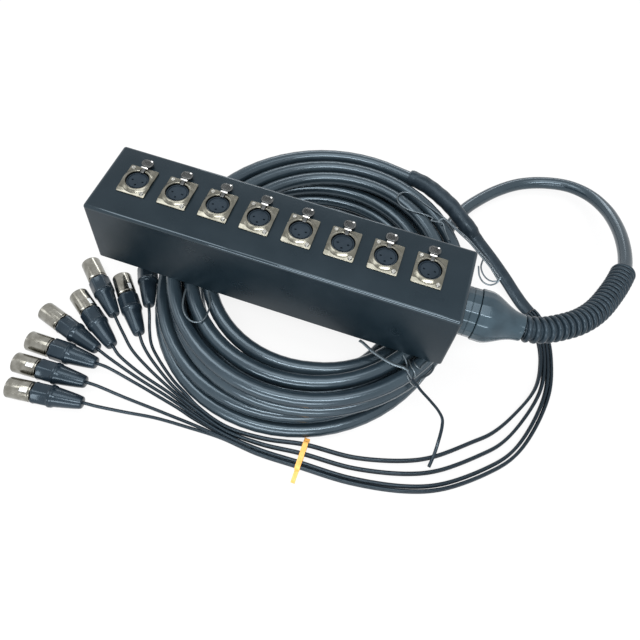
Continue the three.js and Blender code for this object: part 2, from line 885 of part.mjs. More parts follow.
function shellGeometry(turnShare) {
	const boreRadius = shellRadius - shellWall;
	const cup = turnedAlongX([
		[0, shellStart],
		[shellRadius, shellStart],
		[shellRadius, shellEnd],
		[boreRadius, shellEnd],
		[boreRadius, shellStart + shellFloor],
		[0, shellStart + shellFloor],
	], shellSides);
	let made = solid(cup);
	const pinStart = shellStart + shellFloor / 2;
	const pinEnd = shellEnd - pinShortOfRim;
	for (let i = 0; i < contactCount; i += 1) {
		const angle = i * fullTurn / contactCount;
		const pin = new THREE.CylinderGeometry(pinRadius, pinRadius, pinEnd - pinStart, pinSides);
		pin.rotateZ(quarterTurn);
		pin.translate((pinStart + pinEnd) / 2, pinCircle * Math.cos(angle), pinCircle * Math.sin(angle));
		made = made.add(solid(pin));
	}
	const openingStart = shellStart + shellFloor + windowStart;
	const opening = block(
		[openingStart, -windowWidth / 2, boreRadius / 2],
		[openingStart + windowLength, windowWidth / 2, shellRadius + cutOverrun],
	);
	return geometryOf(made.subtract(solid(opening))).rotateX(turnShare * fullTurn);
}

const bootGeometry = turnedAlongX([
	[0, 0],
	[bootEndRadius, 0],
	[bootShoulderRadius, bootLength - bootShoulder],
	[plugBodyRadius, bootLength],
	[plugBodyRadius, plugLength - plugBodyEdge],
	[plugBodyRadius - plugBodyEdge, plugLength],
	[0, plugLength],
], bootSides);

for (let i = 0; i < tailEndRoutes.length; i += 1) {
	place(frameShift, `tail_${i + 1}`, tube(tailPath(i), tailRadius, tailSides, tailSteps), jacket);
	const ends = tailEndRoutes[i];
	const [mouth, before] = [ends[ends.length - 1], ends[ends.length - 2]];
	const plug = new THREE.Group();
	plug.position.set(mouth[0], mouth[1], floorLevel + plugBodyRadius);
	plug.rotation.z = Math.atan2(mouth[1] - before[1], mouth[0] - before[0]);
	frameShift.add(plug);
	place(plug, `plug_boot_${i + 1}`, bootGeometry, plugPlastic);
	place(plug, `plug_shell_${i + 1}`, shellGeometry(windowTurnShares[i]), nickel);
}

// Tie: a flat strap round the tails with a head on one side and a loose end on the other
function tieGeometry() {
	const [x, y, height, fan] = bundleRoute[bundleRoute.length - pointsPastTie];
	const low = y - tailRadius - tailGap;
	const high = y + laneOffset(laneFanShares.length - 1, fan) + tailRadius + tailGap;
	const bottom = height - tailRadius - tailGap;
	const top = height + lanePitch + tailRadius + tailGap;
	const under = bottom - tieStrap;
	const shape = new THREE.Shape();
	shape.moveTo(low - tieStrap - tieTailLength, under);
	shape.lineTo(high + tieStrap + tieHeadLength, under);
	shape.lineTo(high + tieStrap + tieHeadLength, under + tieHeadHeight);
	shape.lineTo(high + tieStrap, under + tieHeadHeight);
	shape.lineTo(high, top + tieStrap);
	shape.lineTo(low, top + tieStrap);
	shape.lineTo(low - tieStrap, bottom + tieStrap);
	shape.lineTo(low - tieStrap - tieTailLength, under + tieTipThickness);
	const inner = new THREE.Path();
	inner.moveTo(low, bottom);
	inner.lineTo(low, top);
	inner.lineTo(high, top);
	inner.lineTo(high, bottom);
	shape.holes.push(inner);
	return alongX(extruded(shape, tieWidth, 1)).translate(x - tieWidth / 2, 0, floorLevel);
}

place(frameShift, 'tail_tie', tieGeometry(), orange);

// Wiring: a loom along the box with a branch up to each socket
function loomGeometry() {
	const end = Math.min(leadStart.x, boxEnd - glandThreadLength) - seatGap;
	const start = socketX(0) - loomRadius;
	const spine = new THREE.CylinderGeometry(loomRadius, loomRadius, end - start, loomSides);
	spine.rotateZ(quarterTurn).translate((start + end) / 2, 0, loomHeight);
	const riser = new THREE.CylinderGeometry(loomRadius, loomRadius, 2 * loomRadius, loomSides);
	riser.rotateZ(quarterTurn).translate(end - loomRadius, 0, loomHeight + loomRadius);
	let made = solid(spine).add(solid(riser));
	const branchTop = boxTop - barrelLength - seatGap;
	for (let i = 0; i < socketCount; i += 1) {
		const branch = bar(branchRadius, loomHeight, branchTop, branchSides, socketX(i), socketRowY);
		made = made.add(solid(branch));
	}
	return geometryOf(made);
}

place(frameShift, 'inner_loom', loomGeometry(), rubber);

// The origin is the middle of the box with its sockets and gland.
frameShift.position.set(boxEnd - (boxLength / 2 + capEnd) / 2, 0, -collarHeight / 2);

export default root;
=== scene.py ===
import math

import bmesh
import bpy
from mathutils import Matrix, Vector


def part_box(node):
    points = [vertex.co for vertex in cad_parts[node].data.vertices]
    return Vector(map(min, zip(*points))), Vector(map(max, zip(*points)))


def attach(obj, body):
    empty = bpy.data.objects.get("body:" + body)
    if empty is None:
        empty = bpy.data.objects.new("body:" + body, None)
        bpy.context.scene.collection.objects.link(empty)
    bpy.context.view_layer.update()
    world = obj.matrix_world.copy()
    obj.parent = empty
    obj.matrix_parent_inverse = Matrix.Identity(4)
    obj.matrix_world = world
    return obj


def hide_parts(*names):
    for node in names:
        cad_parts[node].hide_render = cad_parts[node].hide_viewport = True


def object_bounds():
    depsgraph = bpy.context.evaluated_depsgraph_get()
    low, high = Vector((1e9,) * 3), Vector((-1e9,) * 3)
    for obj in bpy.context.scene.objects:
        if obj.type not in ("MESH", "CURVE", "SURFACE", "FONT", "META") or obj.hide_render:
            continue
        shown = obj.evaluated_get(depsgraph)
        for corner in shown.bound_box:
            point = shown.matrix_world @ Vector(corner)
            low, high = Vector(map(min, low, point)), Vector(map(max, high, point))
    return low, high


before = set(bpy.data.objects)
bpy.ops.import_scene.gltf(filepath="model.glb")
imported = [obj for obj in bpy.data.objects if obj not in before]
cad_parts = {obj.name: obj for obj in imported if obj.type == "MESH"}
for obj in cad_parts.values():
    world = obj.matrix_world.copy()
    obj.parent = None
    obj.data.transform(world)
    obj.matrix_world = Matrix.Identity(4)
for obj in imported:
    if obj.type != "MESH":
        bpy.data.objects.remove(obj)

# A stage box on its coiled multicore cable. Lengths are millimetres up to the two placing
# functions, and metres from there on. X runs along the box, and Y away from the long front face.
MM = 0.001
cad_low, cad_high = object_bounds()
cover_low, cover_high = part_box("top_shell")
BOX_TOP = 36
BOX_END = 164.5
BOX = Vector((
    (cover_low.x + cover_high.x) / 2,
    (cover_low.y + cover_high.y) / 2,
    cover_high.z - BOX_TOP * MM,
))
FLOOR = cad_low.z
FULL_TURN = 2 * math.pi

# Box and sockets. The front fold is bent in FOLD_STEPS flats, and the edges that FOLD_CREASES
# names stay sharp. Heights of a flange, insert and latch are counted up from the panel.
BOX_DEPTH = 76
SHEET = 1.5
FOLD_RADIUS = 2.8
FOLD_STEPS = 7
FOLD_CREASES = (2, 3)
END_ROUNDING = 2.7
SOCKET_COUNT = 8
SOCKET_PITCH = 37.4
SOCKET_ROW_X = -2.4
SOCKET_ROW_Y = 2.2
FLANGE_WIDTH = 26
FLANGE_DEPTH = 31
FLANGE_BOTTOM = 0.3
FLANGE_TOP = 2
STRIP_START = -11.4
STRIP_SLOPE = math.tan(math.radians(14))
SCREW_PLACES = [(-9.6, 12.2), (9.6, -12.2)]
BARREL_RADIUS = 11.6
SOCKET_BORE = 10.2
BARREL_LENGTH = 20
INSERT_TOP = 1.7
CONTACT_CIRCLE = 4.6
LATCH_BOTTOM = 2.3
PAD_THICKNESS = 1.6
PAD_CENTRE_Y = 20.2

# Gland
RING_START = 164.8
RING_END = 178.3
CAP_START = 178.6
CAP_FLATS_END = 186.6
CAP_END = 219.6
GLAND_BORE = 7.8
STUB_RADIUS = 10.4
STUB_END = 150.5
GLAND_FLATS = 16

# Multicore cable. Each layer of the coil has its turns, and the whole coil shifts sideways a
# little, some turns after or before the cable climbs to the next layer.
CABLE_RADIUS = 6.85
STRAND_HALF_HEIGHT = 6.7
LAYER_STEP = 14
RELIEF_START = 219.9
RELIEF_LENGTH = 158
RELIEF_RADIUS = 9.2
RELIEF_BORE = 7.3
RIB_COUNT = 25
LEAD_ROUTE = [
    (219.9, 0, 91.69), (228, 1.6, 91.4), (238, 5.6, 90.5), (253.3, 15.6, 88.6),
    (268.5, 28.6, 85.8), (283.8, 48.6, 81.2), (299.4, 79.8, 74.2), (309, 103.9, 68.6),
    (314.6, 122.2, 64), (316.6, 140.5, 59.5), (316.1, 165.3, 53.2), (312.2, 192.5, 45.7),
    (302.8, 221.5, 36.8), (286, 245.4, 28), (264.1, 257.6, 21.3), (236.4, 258, 15.3),
    (210.1, 249.1, 10.9), (188.1, 231.9, 8.6), (171.3, 212.5, 7.6), (157.7, 192, 7.3),
    (148.6, 170, 7.2), (143.6, 148, 7.2), (143, 125, 7.2), (147, 103, 7.2),
]
COIL_CENTRE = (19.8, 17.2)
COIL_RADII = (148.65, 155.8)
COIL_TILT = math.radians(-25.8)
COIL_START = math.radians(15)
LAYER_TURNS = [2.9, 2.9, 2.45, 2.58]
LAYER_SHIFTS = [(3.76, 3.99), (6.9, 4.1), (4.77, 4.34)]
SHIFT_DELAYS = [0.2, -0.1, -0.15]
CLIMB_TURNS = 0.42
COIL_PITCH = 16.2
COIL_EDGE = 7
FLOOR_GAP = 0.2
COIL_STEPS = 64
ROUTE_STEP = 5
GLAND_RUN = (20, 15, 10, 5)
COIL_RUN_UP = (42, 28, 14)

# Sleeves at the break-out
SLEEVE_START_RADIUS = 7.4
SLEEVE_RADIUS = 8.5
NECK_HALF_WIDTH = 7.7
NECK_HALF_HEIGHT = 5.1
FLAT_HALF_WIDTH = 7.2
FLAT_HALF_HEIGHT = 4.4
SLEEVE_STEP = 2.5
LARGE_SLEEVE_ROUTE = [
    (106, 168, 51), (124, 158.5, 51), (140, 147.5, 50.4), (153, 137.6, 46.9), (163, 132, 42.7),
    (170, 128.2, 39.2),
]
SMALL_SLEEVE_ROUTE = [
    (170, 128.2, 39.2), (177, 124.4, 35.7), (194, 115, 27.6), (212, 104.8, 17.8), (228, 94.4, 8.9),
    (238.2, 87.1, 5), (246, 81, 4.6),
]

# Tails. A bundle point is X, Y, height and how far the four lanes fan out there, of which each
# lane takes its share. Then each tail has the rest of its own route, and each plug the share of
# a full turn at which its window lies.
TAIL_RADIUS = 1.5
TAIL_RUN_UP = 3.3
TAIL_IN_PLUG = 22
LANE_PITCH = 3.45
LANE_SHARES = [0, 0.04, 0.5, 1]
BUNDLE_ROUTE = [
    (249.6, 84.5, 2.9, 0), (255.7, 79.7, 2.6, 0), (268.5, 56, 1.6, 0), (274.5, 30, 1.6, 0),
    (276, -3, 1.6, 3), (266, -46, 1.6, 12), (252, -76, 1.6, 17), (233, -97, 1.6, 19),
    (197, -124.5, 1.6, 18), (167, -137, 1.6, 16), (119, -146, 1.6, 12), (72, -148, 2.7, 10),
    (35, -148.5, 1.6, 4), (-1, -145.5, 1.6, 0),
]
TIE_POINT = len(BUNDLE_ROUTE) - 3
STRAP_WIDTH = 4.6
STRAP_THICKNESS = 0.8
TAIL_ENDS = [
    [(-30, -146.2, 1.6), (-62, -147.9, 1.6), (-90, -152.3, 2.4), (-114.3, -157.7, 9),
     (-124.2, -158.9, 10.1)],
    [(-30, -143.1, 4), (-46, -141.7, 1.7), (-62, -140.9, 1.6), (-95, -140, 3),
     (-121.4, -140.2, 9.2), (-131.4, -140.7, 10.1)],
    [(-30, -137.3, 1.6), (-46, -133.2, 1.6), (-62, -129.9, 1.6), (-95, -123.8, 3),
     (-121.7, -121, 9.2), (-131.7, -121, 10.1)],
    [(-30, -135.3, 4.6), (-46, -130.5, 3.9), (-62, -125.8, 1.75), (-95, -118.4, 2.4),
     (-128.5, -110.8, 9.2), (-138.1, -107.9, 10.1)],
    [(-30, -132.5, 1.6), (-46, -127, 1.6), (-62, -121.8, 1.6), (-95, -113.6, 3.4),
     (-118.6, -105.9, 9), (-127.2, -100.1, 10.1)],
    [(-30, -130.2, 4.7), (-46, -124.5, 4.1), (-62, -118, 1.75), (-90, -106, 1.9),
     (-112, -94.4, 2.6), (-125, -84, 5.6), (-133.4, -77, 9.4), (-140.8, -70.3, 10.1)],
    [(-30, -127.3, 1.6), (-46, -121, 1.6), (-62, -114.2, 1.6), (-84, -101.6, 2.4),
     (-94.5, -95, 5.6), (-103.2, -88, 9.2), (-109.8, -80.5, 10.1)],
    [(-30, -126.8, 5.1), (-46, -118.8, 5.1), (-62, -110.2, 2.6), (-84, -95, 1.75),
     (-97, -83.5, 1.75), (-105, -71, 3.2), (-110.5, -58.3, 9.2), (-115.2, -49.5, 10.1)],
]
WINDOW_SHARES = [0.95, 0.96, 0.5, 0.3, 0.1, 0.4, 0.1, 0.25]

# Plugs, measured along their own axis from the boot's small end
SHELL_START = 45.3
SHELL_END = 68
GRIP_RADIUS = 10.1
SHELL_RADIUS = 9.2
SHELL_FLOOR = 4.6
WINDOW_START = SHELL_START + 2.2
WINDOW_LENGTH = 7.4
WINDOW_HALF_WIDTH = 1.9
CATCH_START = SHELL_START + 2.4
CATCH_RADIUS = 8.95
FINGER_FLATS = 6
FLAT_DEPTH = 0.95
SCALLOP_DEPTH = 1.1
PIN_RADIUS = 1.2
PIN_CIRCLE = 3.4

# A turned profile starts and ends at this radius, in place of a point on the axis
POLE = 0.02


def box_point(x, y, z):
    """A point counted from the middle of the box."""
    return BOX + Vector((x, y, z)) * MM


def floor_point(x, y, height):
    """A point over the floor."""
    return Vector((BOX.x + x * MM, BOX.y + y * MM, FLOOR + height * MM))


def mixed(a, b, share):
    return a + (b - a) * share


def clamped(share):
    return min(max(share, 0), 1)


def eased(share):
    share = clamped(share)
    return share * share * (3 - 2 * share)


# Routes and meshes
def smooth_route(points, step):
    """A smooth curve through the points, sampled about once a step."""
    ends = [2 * points[0] - points[1], *points, 2 * points[-1] - points[-2]]
    route = []
    for i in range(len(points) - 1):
        a, b, c, d = ends[i:i + 4]
        before, between, after = (max(side.length, 1e-9) ** 0.5 for side in (b - a, c - b, d - c))
        start = ((b - a) / before - (c - a) / (before + between) + (c - b) / between) * between
        end = ((c - b) / between - (d - b) / (between + after) + (d - c) / after) * between
        count = max(1, round((c - b).length / step))
        for k in range(count):
            t = k / count
            route.append(
                b + start * t
                + (3 * (c - b) - 2 * start - end) * t ** 2
                + (2 * (b - c) + start + end) * t ** 3
            )
    route.append(points[-1].copy())
    return route


def headings(route):
    """The direction of the route at each of its points."""
    last = len(route) - 1
    return [(route[min(i + 1, last)] - route[max(i - 1, 0)]).normalized() for i in range(last + 1)]


def distances(route):
    """How far along the route each of its points lies."""
    along = [0.0]
    for a, b in zip(route, route[1:]):
        along.append(along[-1] + (b - a).length)
    return along


def new_mesh(name, points, faces, uvs=None):
    mesh = bpy.data.meshes.new(name)
    mesh.from_pydata([tuple(p) for p in points], [], faces)
    if uvs:
        layer = mesh.uv_layers.new(name="UVMap")
        for corner, value in zip(layer.data, [uv for face in uvs for uv in face]):
            corner.uv = value
    return mesh


def tidy(mesh, angle=32, merge=1e-6):
    """Outward faces, no doubles, and smooth shading up to an angle."""
    shape = bmesh.new()
    shape.from_mesh(mesh)
    bmesh.ops.remove_doubles(shape, verts=shape.verts, dist=merge)
    bmesh.ops.dissolve_degenerate(shape, edges=shape.edges, dist=merge)
    bmesh.ops.recalc_face_normals(shape, faces=shape.faces)
    shape.to_mesh(mesh)
    shape.free()
    mesh.shade_smooth()
    mesh.set_sharp_from_angle(angle=math.radians(angle))
    return mesh


def loft(name, rings, closed_ends=True, ring_loop=False, angle=40):
    """Joins rings of points. With ring_loop the last ring meets the first, as in a pipe wall."""
    count = len(rings[0])
    points = [p for one in rings for p in one]
    faces, uvs = [], []
    along = distances([sum(one, Vector()) / count for one in rings])
    around = distances([*rings[len(rings) // 2], rings[len(rings) // 2][0]])
    pairs = [(i, i + 1) for i in range(len(rings) - 1)]
    if ring_loop:
        pairs.append((len(rings) - 1, 0))
    for i, k in pairs:
        for j in range(count):
            n = (j + 1) % count
            faces.append((i * count + j, i * count + n, k * count + n, k * count + j))
            uvs.append((
                (around[j], along[i]), (around[j + 1], along[i]),
                (around[j + 1], along[k]), (around[j], along[k]),
            ))
    if closed_ends and not ring_loop:
        for i, order in ((0, -1), (len(rings) - 1, 1)):
            face = [i * count + j for j in range(count)][::order]
            faces.append(tuple(face))
            uvs.append([(around[j % count], along[i]) for j in range(count)])
    return tidy(new_mesh(name, points, faces, uvs), angle)


def round_section(half_width, half_height, sides):
    """An oval as pairs across and up."""
    return [
        (half_width * math.cos(i * FULL_TURN / sides), half_height * math.sin(i * FULL_TURN / sides))
        for i in range(sides)
    ]


def section_ring(centre, heading, section):
    """One ring of a section, given as pairs across and up in millimetres, square to a heading."""
    across = Vector((-heading.y, heading.x, 0)).normalized()
    up = heading.cross(across).normalized()
    return [centre + across * (a * MM) + up * (b * MM) for a, b in section]


def sweep(name, route, section_at, angle=50):
    """A tube along a route. section_at gives the section at a share of the length."""
    along = distances(route)
    rings = [
        section_ring(p, h, section_at(s / along[-1]))
        for p, h, s in zip(route, headings(route), along)
    ]
    return loft(name, rings, angle=angle)


def turned(name, profile, sides, place, angle=32, loop=False):
    """Turns a profile of (radius, along) round an axis. place maps (along, x, y) to a point."""
    rings = []
    for radius, along in profile:
        rings.append([
            place(along, radius * math.cos(j * FULL_TURN / sides), radius * math.sin(j * FULL_TURN / sides))
            for j in range(sides)
        ])
    return loft(name, rings, ring_loop=loop, angle=angle)


def rounded_outline(width, depth, corner, steps):
    """A rectangle with round corners, each an arc of the given steps."""
    outline = []
    for k, (sx, sy) in enumerate(((1, 1), (-1, 1), (-1, -1), (1, -1))):
        for j in range(steps + 1):
            turn = (k + j / steps) * FULL_TURN / 4
            outline.append((
                sx * (width / 2 - corner) + corner * math.cos(turn),
                sy * (depth / 2 - corner) + corner * math.sin(turn),
            ))
    return outline


def prism(name, outline, low, high, place=box_point):
    """An outline drawn out from low to high. place maps (x, y, level) to a point."""
    count = len(outline)
    points = [place(x, y, low) for x, y in outline] + [place(x, y, high) for x, y in outline]
    faces = [tuple(range(count))[::-1], tuple(range(count, 2 * count))]
    for j in range(count):
        n = (j + 1) % count
        faces.append((j, n, count + n, count + j))
    return new_mesh(name, points, faces)


def block(name, low, high, place=box_point):
    outline = [(low[0], low[1]), (high[0], low[1]), (high[0], high[1]), (low[0], high[1])]
    return prism(name, outline, low[2], high[2], place)


def round_bar(name, x, y, radius, low, high, sides=24, place=box_point):
    outline = [(x + a, y + b) for a, b in round_section(radius, radius, sides)]
    return prism(name, outline, low, high, place)


def joined(name, meshes):
    """One mesh of several, side by side."""
    shape = bmesh.new()
    for mesh in meshes:
        shape.from_mesh(mesh)
    made = bpy.data.meshes.new(name)
    shape.to_mesh(made)
    shape.free()
    return made


def carved(name, mesh, cutters, operation="DIFFERENCE", angle=32):
    """The mesh with the cutters taken out of it, or with only what lies in them."""
    for part in (mesh, *cutters):
        tidy(part)
    kept = bpy.data.objects.new("carve_kept", mesh)
    tool = bpy.data.objects.new("carve_tool", joined("carve_tool", cutters))
    for one in (kept, tool):
        bpy.context.scene.collection.objects.link(one)
    cut = kept.modifiers.new("cut", "BOOLEAN")
    cut.operation = operation
    cut.solver = "EXACT"
    cut.use_self = len(cutters) > 1
    cut.object = tool
    made = bpy.data.meshes.new_from_object(kept.evaluated_get(bpy.context.evaluated_depsgraph_get()))
    made.name = name
    made.materials.clear()
    for one in (kept, tool):
        bpy.data.objects.remove(one)
    return tidy(made, angle)


def bevelled(mesh, width, segments, wanted, angle=32):
    """Rounds the edges that wanted picks by their two ends and the turn between their faces."""
    shape = bmesh.new()
    shape.from_mesh(mesh)
    bmesh.ops.remove_doubles(shape, verts=shape.verts, dist=1e-7)
    bmesh.ops.recalc_face_normals(shape, faces=shape.faces)
    edges = [e for e in shape.edges if len(e.link_faces) == 2 and wanted(e)]
    bmesh.ops.bevel(
        shape, geom=edges, offset=width * MM, segments=segments, profile=0.5,
        affect="EDGES", clamp_overlap=True,
    )
    shape.to_mesh(mesh)
    shape.free()
    return tidy(mesh, angle)


def sharp_edge(edge, degrees=50):
    return edge.calc_face_angle(0) > math.radians(degrees)


def piece(name, mesh, material, body="root", replaces=()):
    """Puts a finished mesh in the scene as one named piece of the object."""
    mesh.name = name
    mesh.materials.clear()
    mesh.materials.append(material)
    made = bpy.data.objects.new(name, mesh)
    bpy.context.scene.collection.objects.link(made)
    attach(made, body)
    if replaces:
        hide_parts(*replaces)
    return made


# Camera, stage and lamps
def set_camera():
    """The photograph's own camera, fitted on the corners of the eight socket flanges."""
    camera = bpy.data.objects.new("camera", bpy.data.cameras.new("camera"))
    bpy.context.scene.collection.objects.link(camera)
    camera.data.sensor_width = 36
    camera.data.lens = 36.0623
    camera.data.shift_x = -0.0019
    camera.data.shift_y = -0.08125
    camera.data.clip_start = 0.02
    camera.data.clip_end = 30
    right = Vector((0.9492, 0.30412, 0.08085))
    down = Vector((0.29542, -0.77266, -0.5619))
    forward = Vector((-0.10841, 0.55723, -0.82325))
    camera.rotation_mode = "QUATERNION"
    camera.rotation_quaternion = Matrix((right, -down, -forward)).transposed().to_quaternion()
    camera.location = box_point(100.52475, -317.57004, 465.74041)
    bpy.context.scene.camera = camera


def show_white(tree, output, plain, white, strength):
    """Wires plain for the light on the object, and white where the background itself is seen."""
    nodes, links = tree.nodes, tree.links
    paths = nodes.new("ShaderNodeLightPath")
    seen = paths.outputs["Is Camera Ray"]
    for label in ("Is Glossy Ray", "Is Transmission Ray"):
        larger = nodes.new("ShaderNodeMath")
        larger.operation = "MAXIMUM"
        links.new(seen, larger.inputs[0])
        links.new(paths.outputs[label], larger.inputs[1])
        seen = larger.outputs[0]
    share = nodes.new("ShaderNodeMath")
    share.operation = "MULTIPLY"
    share.inputs[1].default_value = strength
    mix = nodes.new("ShaderNodeMixShader")
    links.new(seen, share.inputs[0])
    links.new(share.outputs[0], mix.inputs["Fac"])
    links.new(plain.outputs[0], mix.inputs[1])
    links.new(white.outputs[0], mix.inputs[2])
    links.new(mix.outputs[0], nodes.new(output).inputs["Surface"])


def coloured(tree, kind, colour):
    """A new node of one plain colour."""
    node = tree.nodes.new(kind)
    node.inputs["Color"].default_value = (*colour, 1)
    return node


def set_stage():
    """A white floor that keeps the object's shadow, in a dim world that looks white."""
    half, level = 6, FLOOR - 0.4 * MM
    corners = [Vector((half * x, half * y, level)) for x, y in ((-1, -1), (1, -1), (1, 1), (-1, 1))]
    mesh = new_mesh("studio_floor", corners, [(0, 1, 2, 3)])
    floor = bpy.data.objects.new("studio_floor", mesh)
    bpy.context.scene.collection.objects.link(floor)
    material = bpy.data.materials.new("studio_floor")
    material.use_nodes = True
    tree = material.node_tree
    tree.nodes.clear()
    paper = coloured(tree, "ShaderNodeBsdfDiffuse", (0.93, 0.93, 0.93))
    glow = coloured(tree, "ShaderNodeEmission", (1, 1, 1))
    show_white(tree, "ShaderNodeOutputMaterial", paper, glow, 0.86)
    mesh.materials.append(material)
    world = bpy.data.worlds.new("studio")
    bpy.context.scene.world = world
    world.use_nodes = True
    tree = world.node_tree
    tree.nodes.clear()
    dim = coloured(tree, "ShaderNodeBackground", (0.55, 0.56, 0.58))
    white = coloured(tree, "ShaderNodeBackground", (1, 1, 1))
    show_white(tree, "ShaderNodeOutputWorld", dim, white, 1)


def set_lamp(name, place, aim, width, height, power):
    """A soft lamp. Its place, aim and size are metres, and its power watts."""
    lamp = bpy.data.objects.new(name, bpy.data.lights.new(name, "AREA"))
    bpy.context.scene.collection.objects.link(lamp)
    lamp.data.shape = "RECTANGLE"
    lamp.data.size = width
    lamp.data.size_y = height
    lamp.data.energy = power
    lamp.location = place
    lamp.rotation_mode = "QUATERNION"
    lamp.rotation_quaternion = (Vector(aim) - Vector(place)).to_track_quat("-Z", "Y")
    lamp.visible_camera = False


bpy.context.scene.view_settings.view_transform = "Standard"
set_camera()
set_stage()
set_lamp("overhead_softbox", (0.0, 0.05, 1.5), (0, 0.05, 0), 0.95, 0.8, 7)
set_lamp("front_fill", (0.1, -1.6, 0.45), (0, 0, 0), 1.5, 0.4, 16)
set_lamp("key_strip", (0.25, -0.66, 1.28), (0.05, 0, 0), 1.05, 0.24, 12)
set_lamp("back_rim", (-0.3, 1.5, 0.7), (0, 0, 0), 0.9, 0.22, 4)
set_lamp("left_fill", (-1.5, -0.3, 0.9), (0, 0, 0), 0.5, 0.5, 1.5)
set_lamp("left_panel", (-0.6, -0.05, 1.08), (0.1, 0, 0), 0.6, 0.45, 3.5)


# Materials
class Finish:
    """A material with one shader, and short ways to wire its patterns."""

    def __init__(self, name, colour, roughness, metallic=0.0, specular=0.5, tint=(1, 1, 1)):
        self.material = bpy.data.materials.new(name)
        self.material.use_nodes = True
        self.nodes = self.material.node_tree.nodes
        self.links = self.material.node_tree.links
        self.shader = self.nodes["Principled BSDF"]
        self.shader.inputs["Base Color"].default_value = (*colour, 1)
        self.shader.inputs["Roughness"].default_value = roughness
        self.shader.inputs["Metallic"].default_value = metallic
        self.shader.inputs["Specular IOR Level"].default_value = specular
        self.shader.inputs["Specular Tint"].default_value = (*tint, 1)
        self.place = self.nodes.new("ShaderNodeTexCoord")

    def noise(self, scale, detail=3.0, stretch=(1, 1, 1), source="Object"):
        turn = self.nodes.new("ShaderNodeMapping")
        turn.inputs["Scale"].default_value = stretch
        texture = self.nodes.new("ShaderNodeTexNoise")
        texture.inputs["Scale"].default_value = scale
        texture.inputs["Detail"].default_value = detail
        self.links.new(self.place.outputs[source], turn.inputs["Vector"])
        self.links.new(turn.outputs[0], texture.inputs["Vector"])
        return texture.outputs["Fac"]

    def tones(self, factor, dark, light, low=0.35, high=0.65):
        ramp = self.nodes.new("ShaderNodeValToRGB")
        ramp.color_ramp.elements[0].position = low
        ramp.color_ramp.elements[1].position = high
        ramp.color_ramp.elements[0].color = (*dark, 1)
        ramp.color_ramp.elements[1].color = (*light, 1)
        self.links.new(factor, ramp.inputs["Fac"])
        self.links.new(ramp.outputs["Color"], self.shader.inputs["Base Color"])

    def sheen_range(self, factor, low, high):
        spread = self.nodes.new("ShaderNodeMapRange")
        spread.inputs["From Min"].default_value = 0.3
        spread.inputs["From Max"].default_value = 0.7
        spread.inputs["To Min"].default_value = low
        spread.inputs["To Max"].default_value = high
        self.links.new(factor, spread.inputs["Value"])
        self.links.new(spread.outputs["Result"], self.shader.inputs["Roughness"])

    def relief(self, *layers):
        """Each layer is a height and how many millimetres deep it goes."""
        below = None
        for factor, depth in layers:
            bump = self.nodes.new("ShaderNodeBump")
            bump.inputs["Strength"].default_value = 1
            bump.inputs["Distance"].default_value = depth * MM
            self.links.new(factor, bump.inputs["Height"])
            if below:
                self.links.new(below, bump.inputs["Normal"])
            below = bump.outputs["Normal"]
        self.links.new(below, self.shader.inputs["Normal"])


COOL = (0.7, 0.87, 1)


def box_paint(name, specular, low, high, peel=1.0):
    """Satin blue-black powder coat. peel is how strong its fine orange peel is."""
    made = Finish(name, (0.013, 0.022, 0.03), low, specular=specular, tint=COOL)
    made.tones(made.noise(9, 4), (0.0035, 0.0085, 0.0125), (0.007, 0.0135, 0.019))
    made.sheen_range(made.noise(35, 3), low, high)
    made.relief((made.noise(1100, 2), 0.012 * peel), (made.noise(90, 2), 0.02 * peel))
    return made.material


def plated_nickel(name, dark, light, low, high):
    """Satin plate over a casting: slow dulling and fine pits."""
    made = Finish(name, light, low, metallic=1)
    made.tones(made.noise(160, 5), dark, light)
    made.sheen_range(made.noise(420, 3), low, high)
    made.relief((made.noise(1500, 2), 0.004), (made.noise(260, 2), 0.012))
    return made.material


def moulded_plastic(name, dark, light, low, high, grain=0.006, specular=0.25):
    """Moulded plastic with a fine spark-eroded grain."""
    made = Finish(name, light, low, specular=specular, tint=COOL)
    made.tones(made.noise(60, 4), dark, light)
    made.sheen_range(made.noise(220, 3), low, high)
    made.relief((made.noise(2200, 2), grain), (made.noise(150, 2), 0.02))
    return made.material


def cable_jacket(name, dark, light, pattern, specular):
    """Extruded jacket: streaks along the cable and a faint ripple from the cores under it."""
    made = Finish(name, light, 0.2, specular=specular, tint=COOL)
    made.tones(made.noise(70, 4, (1, 0.25, 1), "UV"), dark, light)
    made.sheen_range(made.noise(240, 3, (1, 0.3, 1), "UV"), 0.15, 0.24)
    made.relief((made.noise(1600, 2, source="UV"), 0.006), (made.noise(pattern, 2, (1, 0.5, 1), "UV"), 0.05))
    return made.material


def shrink_sleeve():
    """Heat-shrunk sleeve: glossy, slightly puckered round the cable."""
    made = Finish("shrink_sleeve", (0.014, 0.021, 0.028), 0.35, specular=0.3, tint=COOL)
    made.tones(made.noise(80, 4, source="UV"), (0.011, 0.018, 0.025), (0.02, 0.03, 0.04))
    made.sheen_range(made.noise(160, 3, source="UV"), 0.26, 0.44)
    made.relief((made.noise(900, 2, source="UV"), 0.01), (made.noise(110, 3, (0.5, 1, 1), "UV"), 0.12))
    return made.material


def orange_tie():
    """Translucent-looking orange nylon with a fine grain along the strap."""
    made = Finish("orange_tie", (0.88, 0.4, 0.08), 0.4, specular=0.4)
    made.tones(made.noise(150, 3), (0.88, 0.42, 0.085), (0.97, 0.53, 0.15))
    made.sheen_range(made.noise(400, 3), 0.32, 0.5)
    made.relief((made.noise(900, 2), 0.01))
    return made.material


